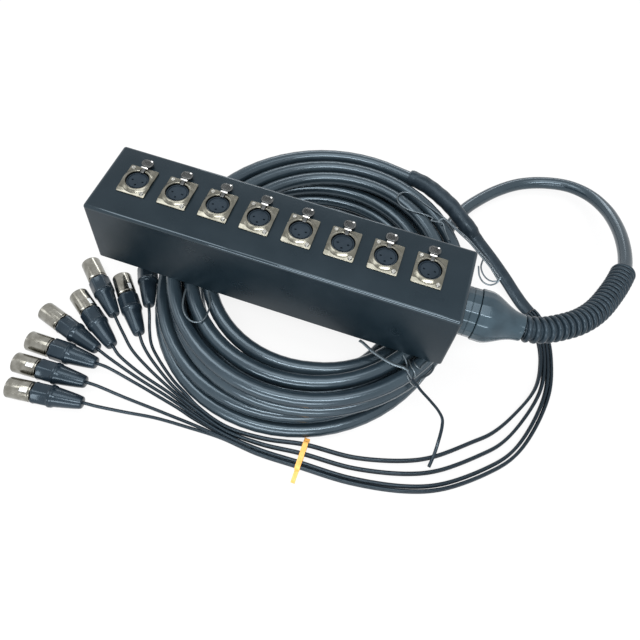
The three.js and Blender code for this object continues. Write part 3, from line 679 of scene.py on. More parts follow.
PAINT = box_paint("box_paint", 0.34, 0.26, 0.38)
FOLD_PAINT = box_paint("box_paint_fold", 0.7, 0.05, 0.08, peel=0.2)
NICKEL = plated_nickel("socket_nickel", (0.145, 0.142, 0.117), (0.21, 0.205, 0.175), 0.16, 0.27)
LATCH_NICKEL = plated_nickel("latch_nickel", (0.09, 0.095, 0.096), (0.15, 0.155, 0.155), 0.18, 0.3)
PLUG_NICKEL = plated_nickel("plug_nickel", (0.2, 0.195, 0.17), (0.31, 0.305, 0.275), 0.12, 0.24)
# Pale steel for the latch's cross bar. On the bead beside the bar, the same brightness is a painted
# highlight.
BAR_STEEL_AND_GLINT = plated_nickel("bar_steel_and_glint", (0.72, 0.72, 0.7), (0.85, 0.85, 0.83), 0.25, 0.4)
# Near-white for the window catches: a painted highlight in each plug's latch window.
CATCH_PAINTED_HIGHLIGHT = moulded_plastic(
    "catch_painted_highlight", (0.7, 0.72, 0.72), (0.84, 0.86, 0.86), 0.25, 0.4, specular=0.6
)
SCREW_STEEL = plated_nickel("screw_steel", (0.4, 0.4, 0.38), (0.56, 0.56, 0.53), 0.18, 0.3)
BRASS = plated_nickel("nut_brass", (0.3, 0.26, 0.15), (0.42, 0.37, 0.22), 0.25, 0.4)
INSERT_PLASTIC = moulded_plastic("insert_plastic", (0.009, 0.015, 0.022), (0.015, 0.023, 0.032), 0.4, 0.55)
GLAND_PLASTIC = moulded_plastic(
    "gland_plastic", (0.018, 0.032, 0.042), (0.03, 0.05, 0.064), 0.14, 0.24, specular=0.6
)
RELIEF_RUBBER = moulded_plastic(
    "relief_rubber", (0.009, 0.016, 0.023), (0.016, 0.026, 0.035), 0.26, 0.4, specular=0.35
)
PLUG_PLASTIC = moulded_plastic(
    "plug_plastic", (0.009, 0.0155, 0.0225), (0.015, 0.0245, 0.034), 0.13, 0.22, specular=0.4
)
JACKET = cable_jacket("multicore_jacket", (0.011, 0.019, 0.026), (0.0215, 0.034, 0.0435), 55, 0.75)
TAIL_JACKET = cable_jacket("tail_jacket", (0.006, 0.011, 0.016), (0.012, 0.019, 0.026), 200, 0.3)
SLEEVE = shrink_sleeve()
TIE_WIRE = moulded_plastic(
    "tie_wire", (0.035, 0.044, 0.05), (0.06, 0.073, 0.08), 0.06, 0.12, grain=0.001, specular=1
)
ORANGE = orange_tie()


# Repeated pieces, grown on a few points or lines
class Grower:
    """A node tree with named sizes, used through one modifier and then turned into a mesh."""

    def __init__(self, name, sizes):
        self.tree = bpy.data.node_groups.new(name, "GeometryNodeTree")
        self.tree.interface.new_socket("Geometry", in_out="INPUT", socket_type="NodeSocketGeometry")
        self.keys = {}
        for label, kind, value in sizes:
            socket = self.tree.interface.new_socket(label, in_out="INPUT", socket_type=f"NodeSocket{kind}")
            if value is not None:
                socket.default_value = value
            self.keys[label] = socket.identifier
        self.tree.interface.new_socket("Geometry", in_out="OUTPUT", socket_type="NodeSocketGeometry")
        self.source = self.tree.nodes.new("NodeGroupInput")

    def add(self, kind, settings=(), **inputs):
        node = self.tree.nodes.new(kind)
        for label, value in dict(settings).items():
            setattr(node, label, value)
        for label, value in inputs.items():
            self.feed(node.inputs[label.replace("_", " ")], value)
        return node

    def feed(self, socket, value):
        if isinstance(value, bpy.types.NodeSocket):
            self.tree.links.new(value, socket)
        else:
            socket.default_value = value

    def maths(self, operation, first, second):
        node = self.add("ShaderNodeMath", {"operation": operation})
        self.feed(node.inputs[0], first)
        self.feed(node.inputs[1], second)
        return node.outputs[0]

    def finish(self, geometry):
        plain = self.add("GeometryNodeRealizeInstances", Geometry=geometry)
        dressed = self.add("GeometryNodeSetMaterial", Geometry=plain.outputs[0])
        self.feed(dressed.inputs["Material"], self.source.outputs["Material"])
        out = self.tree.nodes.new("NodeGroupOutput")
        self.tree.links.new(dressed.outputs[0], out.inputs[0])

    def grow(self, name, mesh, angle=32, **values):
        base = bpy.data.objects.new("grown_on", mesh)
        bpy.context.scene.collection.objects.link(base)
        step = base.modifiers.new("grow", "NODES")
        step.node_group = self.tree
        for label, value in values.items():
            step[self.keys[label.replace("_", " ")]] = value
        made = bpy.data.meshes.new_from_object(base.evaluated_get(bpy.context.evaluated_depsgraph_get()))
        base.modifiers.remove(step)
        bpy.data.objects.remove(base)
        made.name = name
        made.shade_smooth()
        made.set_sharp_from_angle(angle=math.radians(angle))
        return made


def screw_grower():
    """Flat screw heads with a cross recess, turned at random, on the points."""
    sizes = [
        ("Head Radius", "Float", 2.1 * MM), ("Head Height", "Float", 1.1 * MM),
        ("Recess Length", "Float", 2.4 * MM), ("Recess Width", "Float", 0.6 * MM),
        ("Seed", "Int", 7), ("Material", "Material", None),
    ]
    made = Grower("screw_heads", sizes)
    given = made.source.outputs
    edge = made.maths("MULTIPLY", given["Head Radius"], 0.8)
    head = made.add("GeometryNodeMeshCone", {"fill_type": "NGON"}, Vertices=24)
    made.feed(head.inputs["Radius Top"], edge)
    made.feed(head.inputs["Radius Bottom"], given["Head Radius"])
    made.feed(head.inputs["Depth"], given["Head Height"])
    slots = made.add("GeometryNodeJoinGeometry")
    lift = made.add("ShaderNodeCombineXYZ")
    made.feed(lift.inputs["Z"], given["Head Height"])
    for turned_about in (0, 1):
        size = made.add("ShaderNodeCombineXYZ")
        made.feed(size.inputs[turned_about], given["Recess Length"])
        made.feed(size.inputs[1 - turned_about], given["Recess Width"])
        made.feed(size.inputs[2], given["Head Height"])
        bar = made.add("GeometryNodeMeshCube")
        made.feed(bar.inputs["Size"], size.outputs[0])
        raised = made.add("GeometryNodeTransform", Geometry=bar.outputs["Mesh"])
        made.feed(raised.inputs["Translation"], lift.outputs[0])
        made.tree.links.new(raised.outputs[0], slots.inputs[0])
    cut = made.add("GeometryNodeMeshBoolean", {"operation": "DIFFERENCE", "solver": "EXACT"})
    made.tree.links.new(head.outputs["Mesh"], cut.inputs["Mesh 1"])
    made.tree.links.new(slots.outputs[0], cut.inputs["Mesh 2"])
    cut.inputs["Self Intersection"].default_value = True
    turn = made.add("FunctionNodeRandomValue", {"data_type": "FLOAT_VECTOR"})
    turn.inputs["Min"].default_value = (0, 0, 0)
    turn.inputs["Max"].default_value = (0, 0, FULL_TURN)
    made.feed(turn.inputs["Seed"], given["Seed"])
    spread = made.add("GeometryNodeInstanceOnPoints", Points=given["Geometry"])
    made.feed(spread.inputs["Instance"], cut.outputs[0])
    made.feed(spread.inputs["Rotation"], turn.outputs[0])
    made.finish(spread.outputs[0])
    return made


def rib_grower():
    """Round-backed ribs, evenly spaced and square to a line."""
    sizes = [
        ("Rib Count", "Int", RIB_COUNT), ("Rib Radius", "Float", 9.5 * MM),
        ("Rib Thickness", "Float", 2.3 * MM), ("Material", "Material", None),
    ]
    made = Grower("relief_ribs", sizes)
    given = made.source.outputs
    line = made.add("GeometryNodeMeshToCurve", Mesh=given["Geometry"])
    along = made.add("GeometryNodeCurveToPoints", {"mode": "COUNT"}, Curve=line.outputs[0])
    made.feed(along.inputs["Count"], given["Rib Count"])
    ring = made.add("GeometryNodeCurvePrimitiveCircle", Resolution=36)
    made.feed(ring.inputs["Radius"], given["Rib Radius"])
    back = made.add("GeometryNodeCurvePrimitiveCircle", Resolution=12)
    made.feed(back.inputs["Radius"], given["Rib Thickness"])
    rib = made.add("GeometryNodeCurveToMesh", Curve=ring.outputs["Curve"])
    made.tree.links.new(back.outputs["Curve"], rib.inputs["Profile Curve"])
    spread = made.add("GeometryNodeInstanceOnPoints", Points=along.outputs["Points"])
    made.feed(spread.inputs["Instance"], rib.outputs[0])
    made.feed(spread.inputs["Rotation"], along.outputs["Rotation"])
    made.finish(spread.outputs[0])
    return made


def knurl_grower():
    """A field of small four-sided points for a thumb pad."""
    sizes = [
        ("Field Width", "Float", 7 * MM), ("Field Depth", "Float", 4.4 * MM),
        ("Across", "Int", 6), ("Deep", "Int", 4),
        ("Point Radius", "Float", 0.85 * MM), ("Point Height", "Float", 0.85 * MM),
        ("Material", "Material", None),
    ]
    made = Grower("thumb_knurl", sizes)
    given = made.source.outputs
    field = made.add("GeometryNodeMeshGrid")
    made.feed(field.inputs["Size X"], given["Field Width"])
    made.feed(field.inputs["Size Y"], given["Field Depth"])
    made.feed(field.inputs["Vertices X"], given["Across"])
    made.feed(field.inputs["Vertices Y"], given["Deep"])
    point = made.add("GeometryNodeMeshCone", {"fill_type": "NGON"}, Vertices=4)
    made.feed(point.inputs["Radius Bottom"], given["Point Radius"])
    made.feed(point.inputs["Radius Top"], made.maths("MULTIPLY", given["Point Radius"], 0.2))
    made.feed(point.inputs["Depth"], given["Point Height"])
    studded = made.add("GeometryNodeInstanceOnPoints", Points=field.outputs["Mesh"])
    made.feed(studded.inputs["Instance"], point.outputs["Mesh"])
    spread = made.add("GeometryNodeInstanceOnPoints", Points=given["Geometry"])
    made.feed(spread.inputs["Instance"], studded.outputs[0])
    made.finish(spread.outputs[0])
    return made


def rod_grower():
    """Round rods along the given lines."""
    sizes = [("Rod Radius", "Float", 1.2 * MM), ("Rod Sides", "Int", 14), ("Material", "Material", None)]
    made = Grower("rods", sizes)
    given = made.source.outputs
    line = made.add("GeometryNodeMeshToCurve", Mesh=given["Geometry"])
    round_end = made.add("GeometryNodeCurvePrimitiveCircle")
    made.feed(round_end.inputs["Resolution"], given["Rod Sides"])
    made.feed(round_end.inputs["Radius"], given["Rod Radius"])
    rod = made.add("GeometryNodeCurveToMesh", Curve=line.outputs[0])
    made.tree.links.new(round_end.outputs["Curve"], rod.inputs["Profile Curve"])
    rod.inputs["Fill Caps"].default_value = True
    made.finish(rod.outputs[0])
    return made


def points_mesh(points):
    """Loose points for a grower."""
    return new_mesh("points", points, [])


def lines_mesh(lines):
    """Edges along each line, for a grower."""
    mesh = bpy.data.meshes.new("lines")
    points, edges = [], []
    for line in lines:
        edges += [(len(points) + i, len(points) + i + 1) for i in range(len(line) - 1)]
        points += [tuple(p) for p in line]
    mesh.from_pydata(points, edges, [])
    return mesh


SCREWS = screw_grower()
RIBS = rib_grower()
KNURL = knurl_grower()
RODS = rod_grower()


# Multicore cable: out of the gland, down to the floor, ten to eleven loops, and into the sleeve
def coil_inset(turn):
    """How far inside the outer loop the cable lies. It turns back at the end of each layer."""
    inset, start, direction = 0.0, 0.0, 1
    for turns in LAYER_TURNS:
        inset += direction * min(max(turn - start, 0), turns) * COIL_PITCH
        direction = -direction
        start += turns
    return inset + COIL_EDGE


def coil_point(turn):
    """A point of the coil: a turned oval that climbs and shifts a little at each new layer."""
    rise = STRAND_HALF_HEIGHT + FLOOR_GAP
    shift_x = shift_y = reversal = 0.0
    for turns, shift, delay in zip(LAYER_TURNS, LAYER_SHIFTS, SHIFT_DELAYS):
        reversal += turns
        rise += LAYER_STEP * clamped((turn - reversal) / CLIMB_TURNS + 0.5)
        share = eased((turn - reversal - delay) / CLIMB_TURNS + 0.5)
        shift_x += shift[0] * share
        shift_y += shift[1] * share
    turned_by = COIL_START - COIL_TILT - turn * FULL_TURN
    along = (COIL_RADII[0] - coil_inset(turn)) * math.cos(turned_by)
    across = (COIL_RADII[1] - coil_inset(turn)) * math.sin(turned_by)
    return floor_point(
        COIL_CENTRE[0] + shift_x + along * math.cos(COIL_TILT) - across * math.sin(COIL_TILT),
        COIL_CENTRE[1] + shift_y + along * math.sin(COIL_TILT) + across * math.cos(COIL_TILT),
        rise,
    )


def multicore_routes():
    """The cable's four stretches: inside the gland, the lead, the coil and the sleeve's start."""
    turns = sum(LAYER_TURNS)
    steps = round(turns * COIL_STEPS)
    coil = [coil_point(i * turns / steps) for i in range(steps + 1)]
    entry = (coil[1] - coil[0]).normalized()
    leaving = (coil[-1] - coil[-2]).normalized()
    foot = [coil[0] - entry * (d * MM) for d in COIL_RUN_UP]
    for point in foot:
        point.z = coil[0].z + FLOOR_GAP * MM
    knots = [floor_point(*p) for p in LEAD_ROUTE] + foot + [coil[0]]
    lead = smooth_route(knots, ROUTE_STEP * MM)
    inside = [box_point(RELIEF_START - d, 0, 0) for d in GLAND_RUN]
    into = [coil[-1] + leaving * (d * MM) for d in (ROUTE_STEP, 2 * ROUTE_STEP)]
    sleeve = [floor_point(*p) for p in LARGE_SLEEVE_ROUTE[:2]]
    tail = smooth_route([coil[-1], *into, *sleeve], ROUTE_STEP * MM)
    return inside, lead, coil, tail


inside_run, lead_run, coil_run, sleeve_run = multicore_routes()
multicore_route = inside_run + lead_run[:-1] + coil_run + sleeve_run[1:]


def jacket_section(radius, sides):
    section = round_section(radius, radius, sides)
    return lambda share: section


multicore = piece(
    "multicore_cable",
    sweep("multicore_cable", multicore_route, jacket_section(CABLE_RADIUS, 18)),
    JACKET, replaces=["multicore_lead", "multicore_coil"],
)


def part_of(route, length):
    """The first stretch of a route, up to a length in metres."""
    kept = [route[0]]
    for a, b in zip(route, route[1:]):
        left = length - distances(kept)[-1]
        if left <= (b - a).length:
            kept.append(a + (b - a) * (left / (b - a).length))
            return kept
        kept.append(b)
    return kept


relief_run = part_of(lead_run, RELIEF_LENGTH * MM)


def relief_core():
    """The sleeve under the ribs, with its bore and a short taper at both ends."""
    outside, bore = [], []
    along = distances(relief_run)
    for p, h, s in zip(relief_run, headings(relief_run), along):
        left = min(s, along[-1] - s) / MM
        radius = RELIEF_RADIUS - 0.5 * (1 - clamped(left / 4))
        outside.append(section_ring(p, h, round_section(radius, radius, 36)))
        bore.append(section_ring(p, h, round_section(RELIEF_BORE, RELIEF_BORE, 36)))
    return loft("relief_core", outside + bore[::-1], ring_loop=True, angle=50)


def relief_ribs():
    """The ribs stop a rib's thickness short of both ends."""
    end_gap = 3
    line = part_of(lead_run, (RELIEF_LENGTH - end_gap) * MM)
    line[0] = line[0] + (line[1] - line[0]).normalized() * (end_gap * MM)
    return RIBS.grow("relief_ribs", lines_mesh([line]), angle=60, Material=RELIEF_RUBBER)


relief = piece(
    "strain_relief_sleeve", relief_core(), RELIEF_RUBBER, replaces=["strain_relief"]
)
ribs = piece("strain_relief_ribs", relief_ribs(), RELIEF_RUBBER)


# Sleeves
def large_sleeve_section(share):
    """A lip, a puckered round stretch, and a shoulder down to a flatter neck."""
    lip = 0.55 * math.exp(-((share - 0.015) / 0.02) ** 2)
    neck = eased((share - 0.93) / 0.07)
    pucker = 0.18 * math.sin(share * 46) * (1 - neck)
    start = eased(share / 0.05)
    radius = mixed(SLEEVE_START_RADIUS, SLEEVE_RADIUS, start) + lip + pucker
    return round_section(mixed(radius, NECK_HALF_WIDTH, neck), mixed(radius, NECK_HALF_HEIGHT, neck), 28)


def small_sleeve_section(share):
    """A flat oval that flares at its start and closes a little on the tails."""
    shut = eased((share - 0.9) / 0.1)
    flare = 0.5 * math.exp(-((share - 0.02) / 0.03) ** 2)
    return round_section(FLAT_HALF_WIDTH + flare - 0.3 * shut, FLAT_HALF_HEIGHT + flare - 0.4 * shut, 28)


def sleeve_pieces():
    """The round sleeve starts just past the coil, a little above the cable's own line."""
    leaving = (coil_run[-1] - coil_run[-2]).normalized()
    start = coil_run[-1] + leaving * (14.3 * MM) + Vector((0, 0, 1.2 * MM))
    knots = [start, start + leaving * (7 * MM), *[floor_point(*p) for p in LARGE_SLEEVE_ROUTE]]
    large = piece(
        "breakout_sleeve_round",
        sweep("breakout_sleeve_round", smooth_route(knots, SLEEVE_STEP * MM), large_sleeve_section),
        SLEEVE, replaces=["breakout_sleeve_large"],
    )
    small_route = smooth_route([floor_point(*p) for p in SMALL_SLEEVE_ROUTE], SLEEVE_STEP * MM)
    small = piece(
        "breakout_sleeve_flat",
        sweep("breakout_sleeve_flat", small_route, small_sleeve_section),
        SLEEVE, replaces=["breakout_sleeve_small"],
    )
    return large, small


large_sleeve, small_sleeve = sleeve_pieces()


# Tails and their plugs
def lane_offset(lane, fan):
    return lane * LANE_PITCH + fan * LANE_SHARES[lane]


def bundle_points(lane, row):
    """The points of one cable in the bundle, which lies four lanes wide and two rows high."""
    last = len(BUNDLE_ROUTE) - 1
    points = []
    for i, (x, y, height, fan) in enumerate(BUNDLE_ROUTE):
        before, after = BUNDLE_ROUTE[max(i - 1, 0)], BUNDLE_ROUTE[min(i + 1, last)]
        heading = Vector((after[0] - before[0], after[1] - before[1])).normalized()
        offset = lane_offset(lane, fan)
        points.append(floor_point(x + heading.y * offset, y - heading.x * offset, height + row * LANE_PITCH))
    return points


def tail_route(index):
    """A tail from the small sleeve through the bundle, up into its plug's boot and on to the pins."""
    ends = [floor_point(*p) for p in TAIL_ENDS[index]]
    heading = ends[-1] - ends[-2]
    heading.z = 0
    heading.normalize()
    straight = ends[-1] - heading * (TAIL_RUN_UP * MM)
    inside = ends[-1] + heading * (TAIL_IN_PLUG * MM)
    return smooth_route([*bundle_points(index // 2, index % 2), *ends[:-1], straight, inside], 3 * MM)


def plug_place(index):
    """Maps (along, across, up) on a plug's own axis to a point."""
    mouth, before = TAIL_ENDS[index][-1], TAIL_ENDS[index][-2]
    heading = Vector((mouth[0] - before[0], mouth[1] - before[1], 0)).normalized()
    across = Vector((-heading.y, heading.x, 0))
    origin = floor_point(mouth[0], mouth[1], GRIP_RADIUS)
    return lambda along, x, y: origin + (heading * along + across * x + Vector((0, 0, y))) * MM


def grip_mesh(place, turn):
    """Boot and grip in one moulding. A station is its place, its radius and how deep the flats go."""
    stations = [
        (0, 4.4, 0), (0.3, 5.0, 0), (1, 5.45, 0), (2.2, 5.8, 0), (6, 6.5, 0), (11, 7.2, 0),
        (16, 7.85, 0), (20, 8.35, 0), (23, 8.7, 0), (24.6, 8.9, 0), (25.2, 9.2, 0), (26, 9.7, 0),
        (26.8, 9.95, 0), (27.2, 9.7, 0), (27.7, 9.7, 0), (28, 10.05, 0), (29, GRIP_RADIUS, 0),
        (29.3, GRIP_RADIUS, 0.1), (29.9, GRIP_RADIUS, 0.9), (30.2, GRIP_RADIUS, 1), (37, GRIP_RADIUS, 1),
        (41.5, GRIP_RADIUS, 1), (43, GRIP_RADIUS, 0.6), (44, 9.95, 0.3), (44.6, 9.6, 0.2), (44.9, 9.0, 0),
    ]
    sides = 48
    rings = []
    for along, radius, flat in stations:
        ring = []
        for j in range(sides):
            angle = j * FULL_TURN / sides + turn
            panel = (0.5 + 0.5 * math.cos(FINGER_FLATS * (angle - turn))) ** 0.6
            r = radius - FLAT_DEPTH * flat * panel
            push = -SCALLOP_DEPTH * panel * eased((along - 42.5) / 2)
            ring.append(place(along + push, r * math.cos(angle), r * math.sin(angle)))
        rings.append(ring)
    return loft("grip", rings, angle=38)


def shell_mesh(place, turn):
    """A cup that is open at the plug's mouth, with the latch window cut through its wall."""
    profile = [
        (POLE, SHELL_START), (8.3, SHELL_START), (8.6, SHELL_START + 0.2), (8.6, SHELL_START + 1.2),
        (8.95, SHELL_START + 1.5), (SHELL_RADIUS, SHELL_START + 1.8), (SHELL_RADIUS, SHELL_END - 1.2),
        (9.05, SHELL_END - 0.5), (8.8, SHELL_END - 0.1), (8.5, SHELL_END), (8.25, SHELL_END - 0.15),
        (8.1, SHELL_END - 0.6), (8.1, SHELL_START + SHELL_FLOOR), (POLE, SHELL_START + SHELL_FLOOR),
    ]
    cup = turned("cup", profile, 56, place)

    def rolled(along, x, y):
        c, s = math.cos(turn), math.sin(turn)
        return place(along, x * c - y * s, x * s + y * c)

    near = (WINDOW_START, -WINDOW_HALF_WIDTH, 7.6)
    far = (WINDOW_START + WINDOW_LENGTH, WINDOW_HALF_WIDTH, 12)
    return carved("shell", cup, [block("window", near, far, rolled)])


def window_catch_mesh(place, turn):
    """A spring catch that stands on the insert and fills the shell's window. Its near-white colour is a
    painted highlight that keeps the window bright.
    """
    middle, half_angle, inner_radius = turn + FULL_TURN / 4, 0.19, 7.5
    rings = []
    for along, depth in ((0, 0.2), (0.25, 0), (6.75, 0), (7, 0.2)):
        arc = [middle + (k / 4 - 1) * half_angle for k in range(9)]
        section = [(CATCH_RADIUS - depth, a) for a in arc] + [(inner_radius, a) for a in arc[::-1]]
        rings.append([place(CATCH_START + along, r * math.cos(a), r * math.sin(a)) for r, a in section])
    return loft("window_catch", rings, angle=30)


def plug_insert_mesh(place):
    """The plug's insert: a disc on the shell's floor with a low rim."""
    base = SHELL_START + SHELL_FLOOR
    profile = [
        (POLE, base), (7.7, base), (7.9, base + 0.2), (7.9, base + 2.2), (7.5, base + 2.5),
        (5.6, base + 2.5), (5.4, base + 2.2), (POLE, base + 2.2),
    ]
    return turned("plug_insert", profile, 40, place)


def plug_pins_mesh(place):
    """Three contact pins on a circle."""
    lines = []
    for k in range(3):
        angle = k * FULL_TURN / 3
        x, y = PIN_CIRCLE * math.cos(angle), PIN_CIRCLE * math.sin(angle)
        lines.append([place(SHELL_START + 5, x, y), place(SHELL_END - 4.8, x, y)])
    return RODS.grow(
        "plug_pins", lines_mesh(lines), Rod_Radius=PIN_RADIUS * MM, Rod_Sides=14, Material=PLUG_NICKEL
    )


def plug_pieces(index):
    """One plug's grip, shell, insert, window catch and contact pins."""
    number = index + 1
    place = plug_place(index)
    turn = WINDOW_SHARES[index] * FULL_TURN
    grip = piece(
        f"cable_plug_grip_{number}", grip_mesh(place, turn),
        PLUG_PLASTIC, replaces=[f"plug_boot_{number}"],
    )
    shell = piece(
        f"cable_plug_shell_{number}", shell_mesh(place, turn),
        PLUG_NICKEL, replaces=[f"plug_shell_{number}"],
    )
    insert = piece(
        f"cable_plug_insert_{number}", plug_insert_mesh(place), INSERT_PLASTIC
    )
    # The catch's near-white colour is a painted highlight.
    catch = piece(
        f"cable_plug_catch_{number}", window_catch_mesh(place, turn), CATCH_PAINTED_HIGHLIGHT
    )
    pins = piece(f"cable_plug_pins_{number}", plug_pins_mesh(place), PLUG_NICKEL)
    return [grip, shell, insert, catch, pins]


for i in range(len(TAIL_ENDS)):
    number = i + 1
    route = tail_route(i)
    tail = piece(
        f"tail_cable_{number}", sweep("tail_cable", route, jacket_section(TAIL_RADIUS, 12)),
        TAIL_JACKET, replaces=[f"tail_{number}"],
    )
    plug_pieces(i)


# Orange tie round the tails
def tie_band(x, low, high, bottom, top):
    """The strap's closed loop, bent round the bundle's four corners."""
    outer = []
    for first, sy, sz, radius in ((2, -1, -1, 2.2), (3, 1, -1, 2.2), (0, 1, 1, 2.6), (1, -1, 1, 2.6)):
        y = (high if sy > 0 else low) - sy * radius
        z = (top if sz > 0 else bottom) - sz * radius
        for j in range(7):
            turn = (first + j / 6) * FULL_TURN / 4
            ny, nz = math.cos(turn), math.sin(turn)
            outer.append((y + radius * ny, z + radius * nz, ny, nz))
    half = STRAP_WIDTH / 2
    section = [(-half, 0), (half, 0), (half, STRAP_THICKNESS), (-half, STRAP_THICKNESS)]
    rings = [[floor_point(x + a, y + ny * b, z + nz * b) for a, b in section] for y, z, ny, nz in outer]
    return loft("tie_band", rings, ring_loop=True, angle=30)


def orange_tie_mesh():
    """A strap round the tails, with its head at the back and its cut tail at the front."""
    def across_tails(y, height, x):
        return floor_point(x, y, height)

    clear = 2
    x, y, height, fan = BUNDLE_ROUTE[TIE_POINT]
    low, high = y - clear, y + lane_offset(3, fan) + clear
    bottom, top = height - clear, height + LANE_PITCH + clear
    under = bottom - 0.7
    band = tie_band(x, low, high, bottom, top)
    tail_outline = [
        (low - 11.5, under), (low + 1, under), (low + 1, under + STRAP_THICKNESS + 0.5),
        (low - 0.5, under + STRAP_THICKNESS), (low - 11.5, under + 0.5),
    ]
    head_outline = [
        (high - 0.2, under), (high + 4.6, under), (high + 4.9, under + 0.6), (high + 4.6, under + 3.2),
        (high + 0.8, under + 3.5), (high - 0.2, under + 2.6),
    ]
    tail = prism("tie_tail", tail_outline, x - 1.9, x + 1.9, across_tails)
    head = prism("tie_head", head_outline, x - 2.6, x + 2.6, across_tails)
    return tidy(joined("orange_tie", [tidy(band), tidy(tail), bevelled(head, 0.4, 2, sharp_edge)]), 30)


piece("orange_tie", orange_tie_mesh(), ORANGE, replaces=["tail_tie"])


# Black twist ties: wire-cored strips round the coil and the sleeve. Those twisted together are
# wider.
STRIP_HALF_WIDTH = 0.85
TWISTED_HALF_WIDTH = 1.5
STRIP_HALF_HEIGHT = 0.6
TWIST_LINES = {
    "coil_back": [
        [(121.4, 117.5, 56.8), (122.9, 120.2, 57), (114, 122.3, 56.8), (101.3, 122.3, 56.6),
         (91.3, 124, 56.6), (83.6, 129.5, 56.6), (81.6, 135.3, 56.8), (84.8, 142, 57),
         (90.7, 144.7, 57), (98.8, 142.2, 57), (109.7, 137, 57), (120.4, 131.7, 57.3),
         (132.3, 126, 57.2), (138.2, 122.7, 57), (148.9, 115.9, 57), (161.9, 108.9, 56),
         (174.3, 100, 54), (188, 92, 50), (201.4, 82.9, 44)],
        [(128.5, 118.9, 57), (132.9, 122.3, 58.6), (139.9, 119.1, 58.4), (151.8, 111.6, 57.5),
         (164.9, 104.4, 55.5), (177.4, 95.4, 53), (190, 87.7, 49), (201.2, 79.7, 43)],
        [(121.4, 116.5, 57), (127.7, 116.2, 58.2), (133, 116.8, 58.8), (138.6, 107.8, 57.2),
         (144.1, 98.9, 56.8)],
    ],
    "sleeve": [
        [(183.1, 101.7, 44), (182.6, 89.9, 42), (187.3, 81.5, 41), (194.1, 77.5, 41), (200.7, 78.9, 42),
         (203.3, 83.2, 44.5)],
        [(179.8, 89.4, 43), (183.1, 79.3, 41), (188.4, 74, 40), (195.1, 73.1, 40), (200.6, 76.7, 41.5),
         (202.8, 80.8, 44)],
    ],
    "coil_left": [
        [(-73.9, -44.6, 56.5), (-72.2, -53.2, 56.7), (-68.4, -63.1, 56.8), (-62, -70.6, 56.9),
         (-54.8, -73.8, 57), (-48.9, -72.3, 57), (-46, -68, 57), (-45.6, -60.2, 57),
         (-47.4, -51.9, 56.8), (-52.1, -43.4, 56.6), (-54, -40, 56.4)],
    ],
    "coil_front": [
        [(90, -39.5, 54.8), (92.6, -40.5, 55.5), (103.3, -46.3, 56.3), (114.4, -50.3, 56.6),
         (124.9, -52.5, 56.8), (133.9, -52.6, 57), (138.8, -54.3, 57)],
    ],
    "coil_front_tail": [
        [(143, -58.6, 53.5), (148.6, -60.4, 49), (153.2, -62.6, 46), (164.3, -65.5, 38),
         (174.6, -68.7, 30), (180.1, -72.3, 24.5), (182, -77.7, 20), (182.7, -88.3, 13),
         (182.2, -99.4, 9), (181, -106.9, 8), (180.1, -111.8, 7.7)],
    ],
    "coil_front_knot": [
        [(130.6, -40.7, 56.3), (133.7, -44.5, 56), (135.8, -47.9, 55.4), (136.8, -53.5, 56.4),
         (139.6, -57, 56.3), (142.9, -58.8, 53.6)],
        [(136.6, -41, 51), (138.8, -47.1, 55.2), (140.7, -50.3, 56.5), (143, -52.2, 56.1),
         (145.6, -56.6, 53.4)],
        [(140.9, -36.5, 48), (142.9, -46.3, 56.4), (145.6, -47.8, 56.3), (148.2, -47.8, 55.1),
         (148.5, -45.8, 55.6), (152.1, -39.4, 55.7)],
        [(138.4, -58.2, 55.8), (141, -60.7, 53.3), (145.1, -58.4, 43), (149.1, -56.4, 38),
         (151.5, -52.8, 38.6), (152.6, -49, 40), (155.4, -45.2, 39.1), (158.8, -40.4, 38.2),
         (160.5, -36, 38.7), (161, -31.8, 40.2)],
    ],
}
for name, lines in TWIST_LINES.items():
    twisted = name in ("coil_front", "coil_front_tail")
    strip = round_section(TWISTED_HALF_WIDTH if twisted else STRIP_HALF_WIDTH, STRIP_HALF_HEIGHT, 12)
    strips = [
        sweep("strip", smooth_route([floor_point(*p) for p in line], 1.5 * MM), lambda share: strip)
        for line in lines
    ]
    finish = TAIL_JACKET if name == "coil_front_tail" else TIE_WIRE
    piece(f"twist_tie_{name}", tidy(joined("twist_tie", strips), 60), finish)


# Box cover: one fold along each long edge, closed ends, eight panel holes and the gland hole
def socket_x(index):
    return SOCKET_ROW_X + (index - (SOCKET_COUNT - 1) / 2) * SOCKET_PITCH


def along_box(y, z, x):
    """Places an outline that is drawn in the box's cross-section."""
    return box_point(x, y, z)


def cover_outline(inset, radius, steps):
    """The cover's cross-section: a round fold at each side of the top, square at the open edge."""
    half = BOX_DEPTH / 2 - inset
    top = BOX_TOP - inset
    points = [(-half, -BOX_TOP), (half, -BOX_TOP)]
    for first, sy in ((0, 1), (1, -1)):
        for j in range(steps + 1):
            turn = (first + j / steps) * FULL_TURN / 4
            y = sy * (half - radius) + radius * math.cos(turn)
            points.append((y, top - radius + radius * math.sin(turn)))
    return points


def end_face_edge(edge):
    """True for the outline of an end face, without its edge at the open side."""
    a, b = (v.co for v in edge.verts)
    return sharp_edge(edge, 60) and abs(a.x - b.x) < 1e-6 and max(a.z, b.z) > BOX.z - (BOX_TOP - 1) * MM


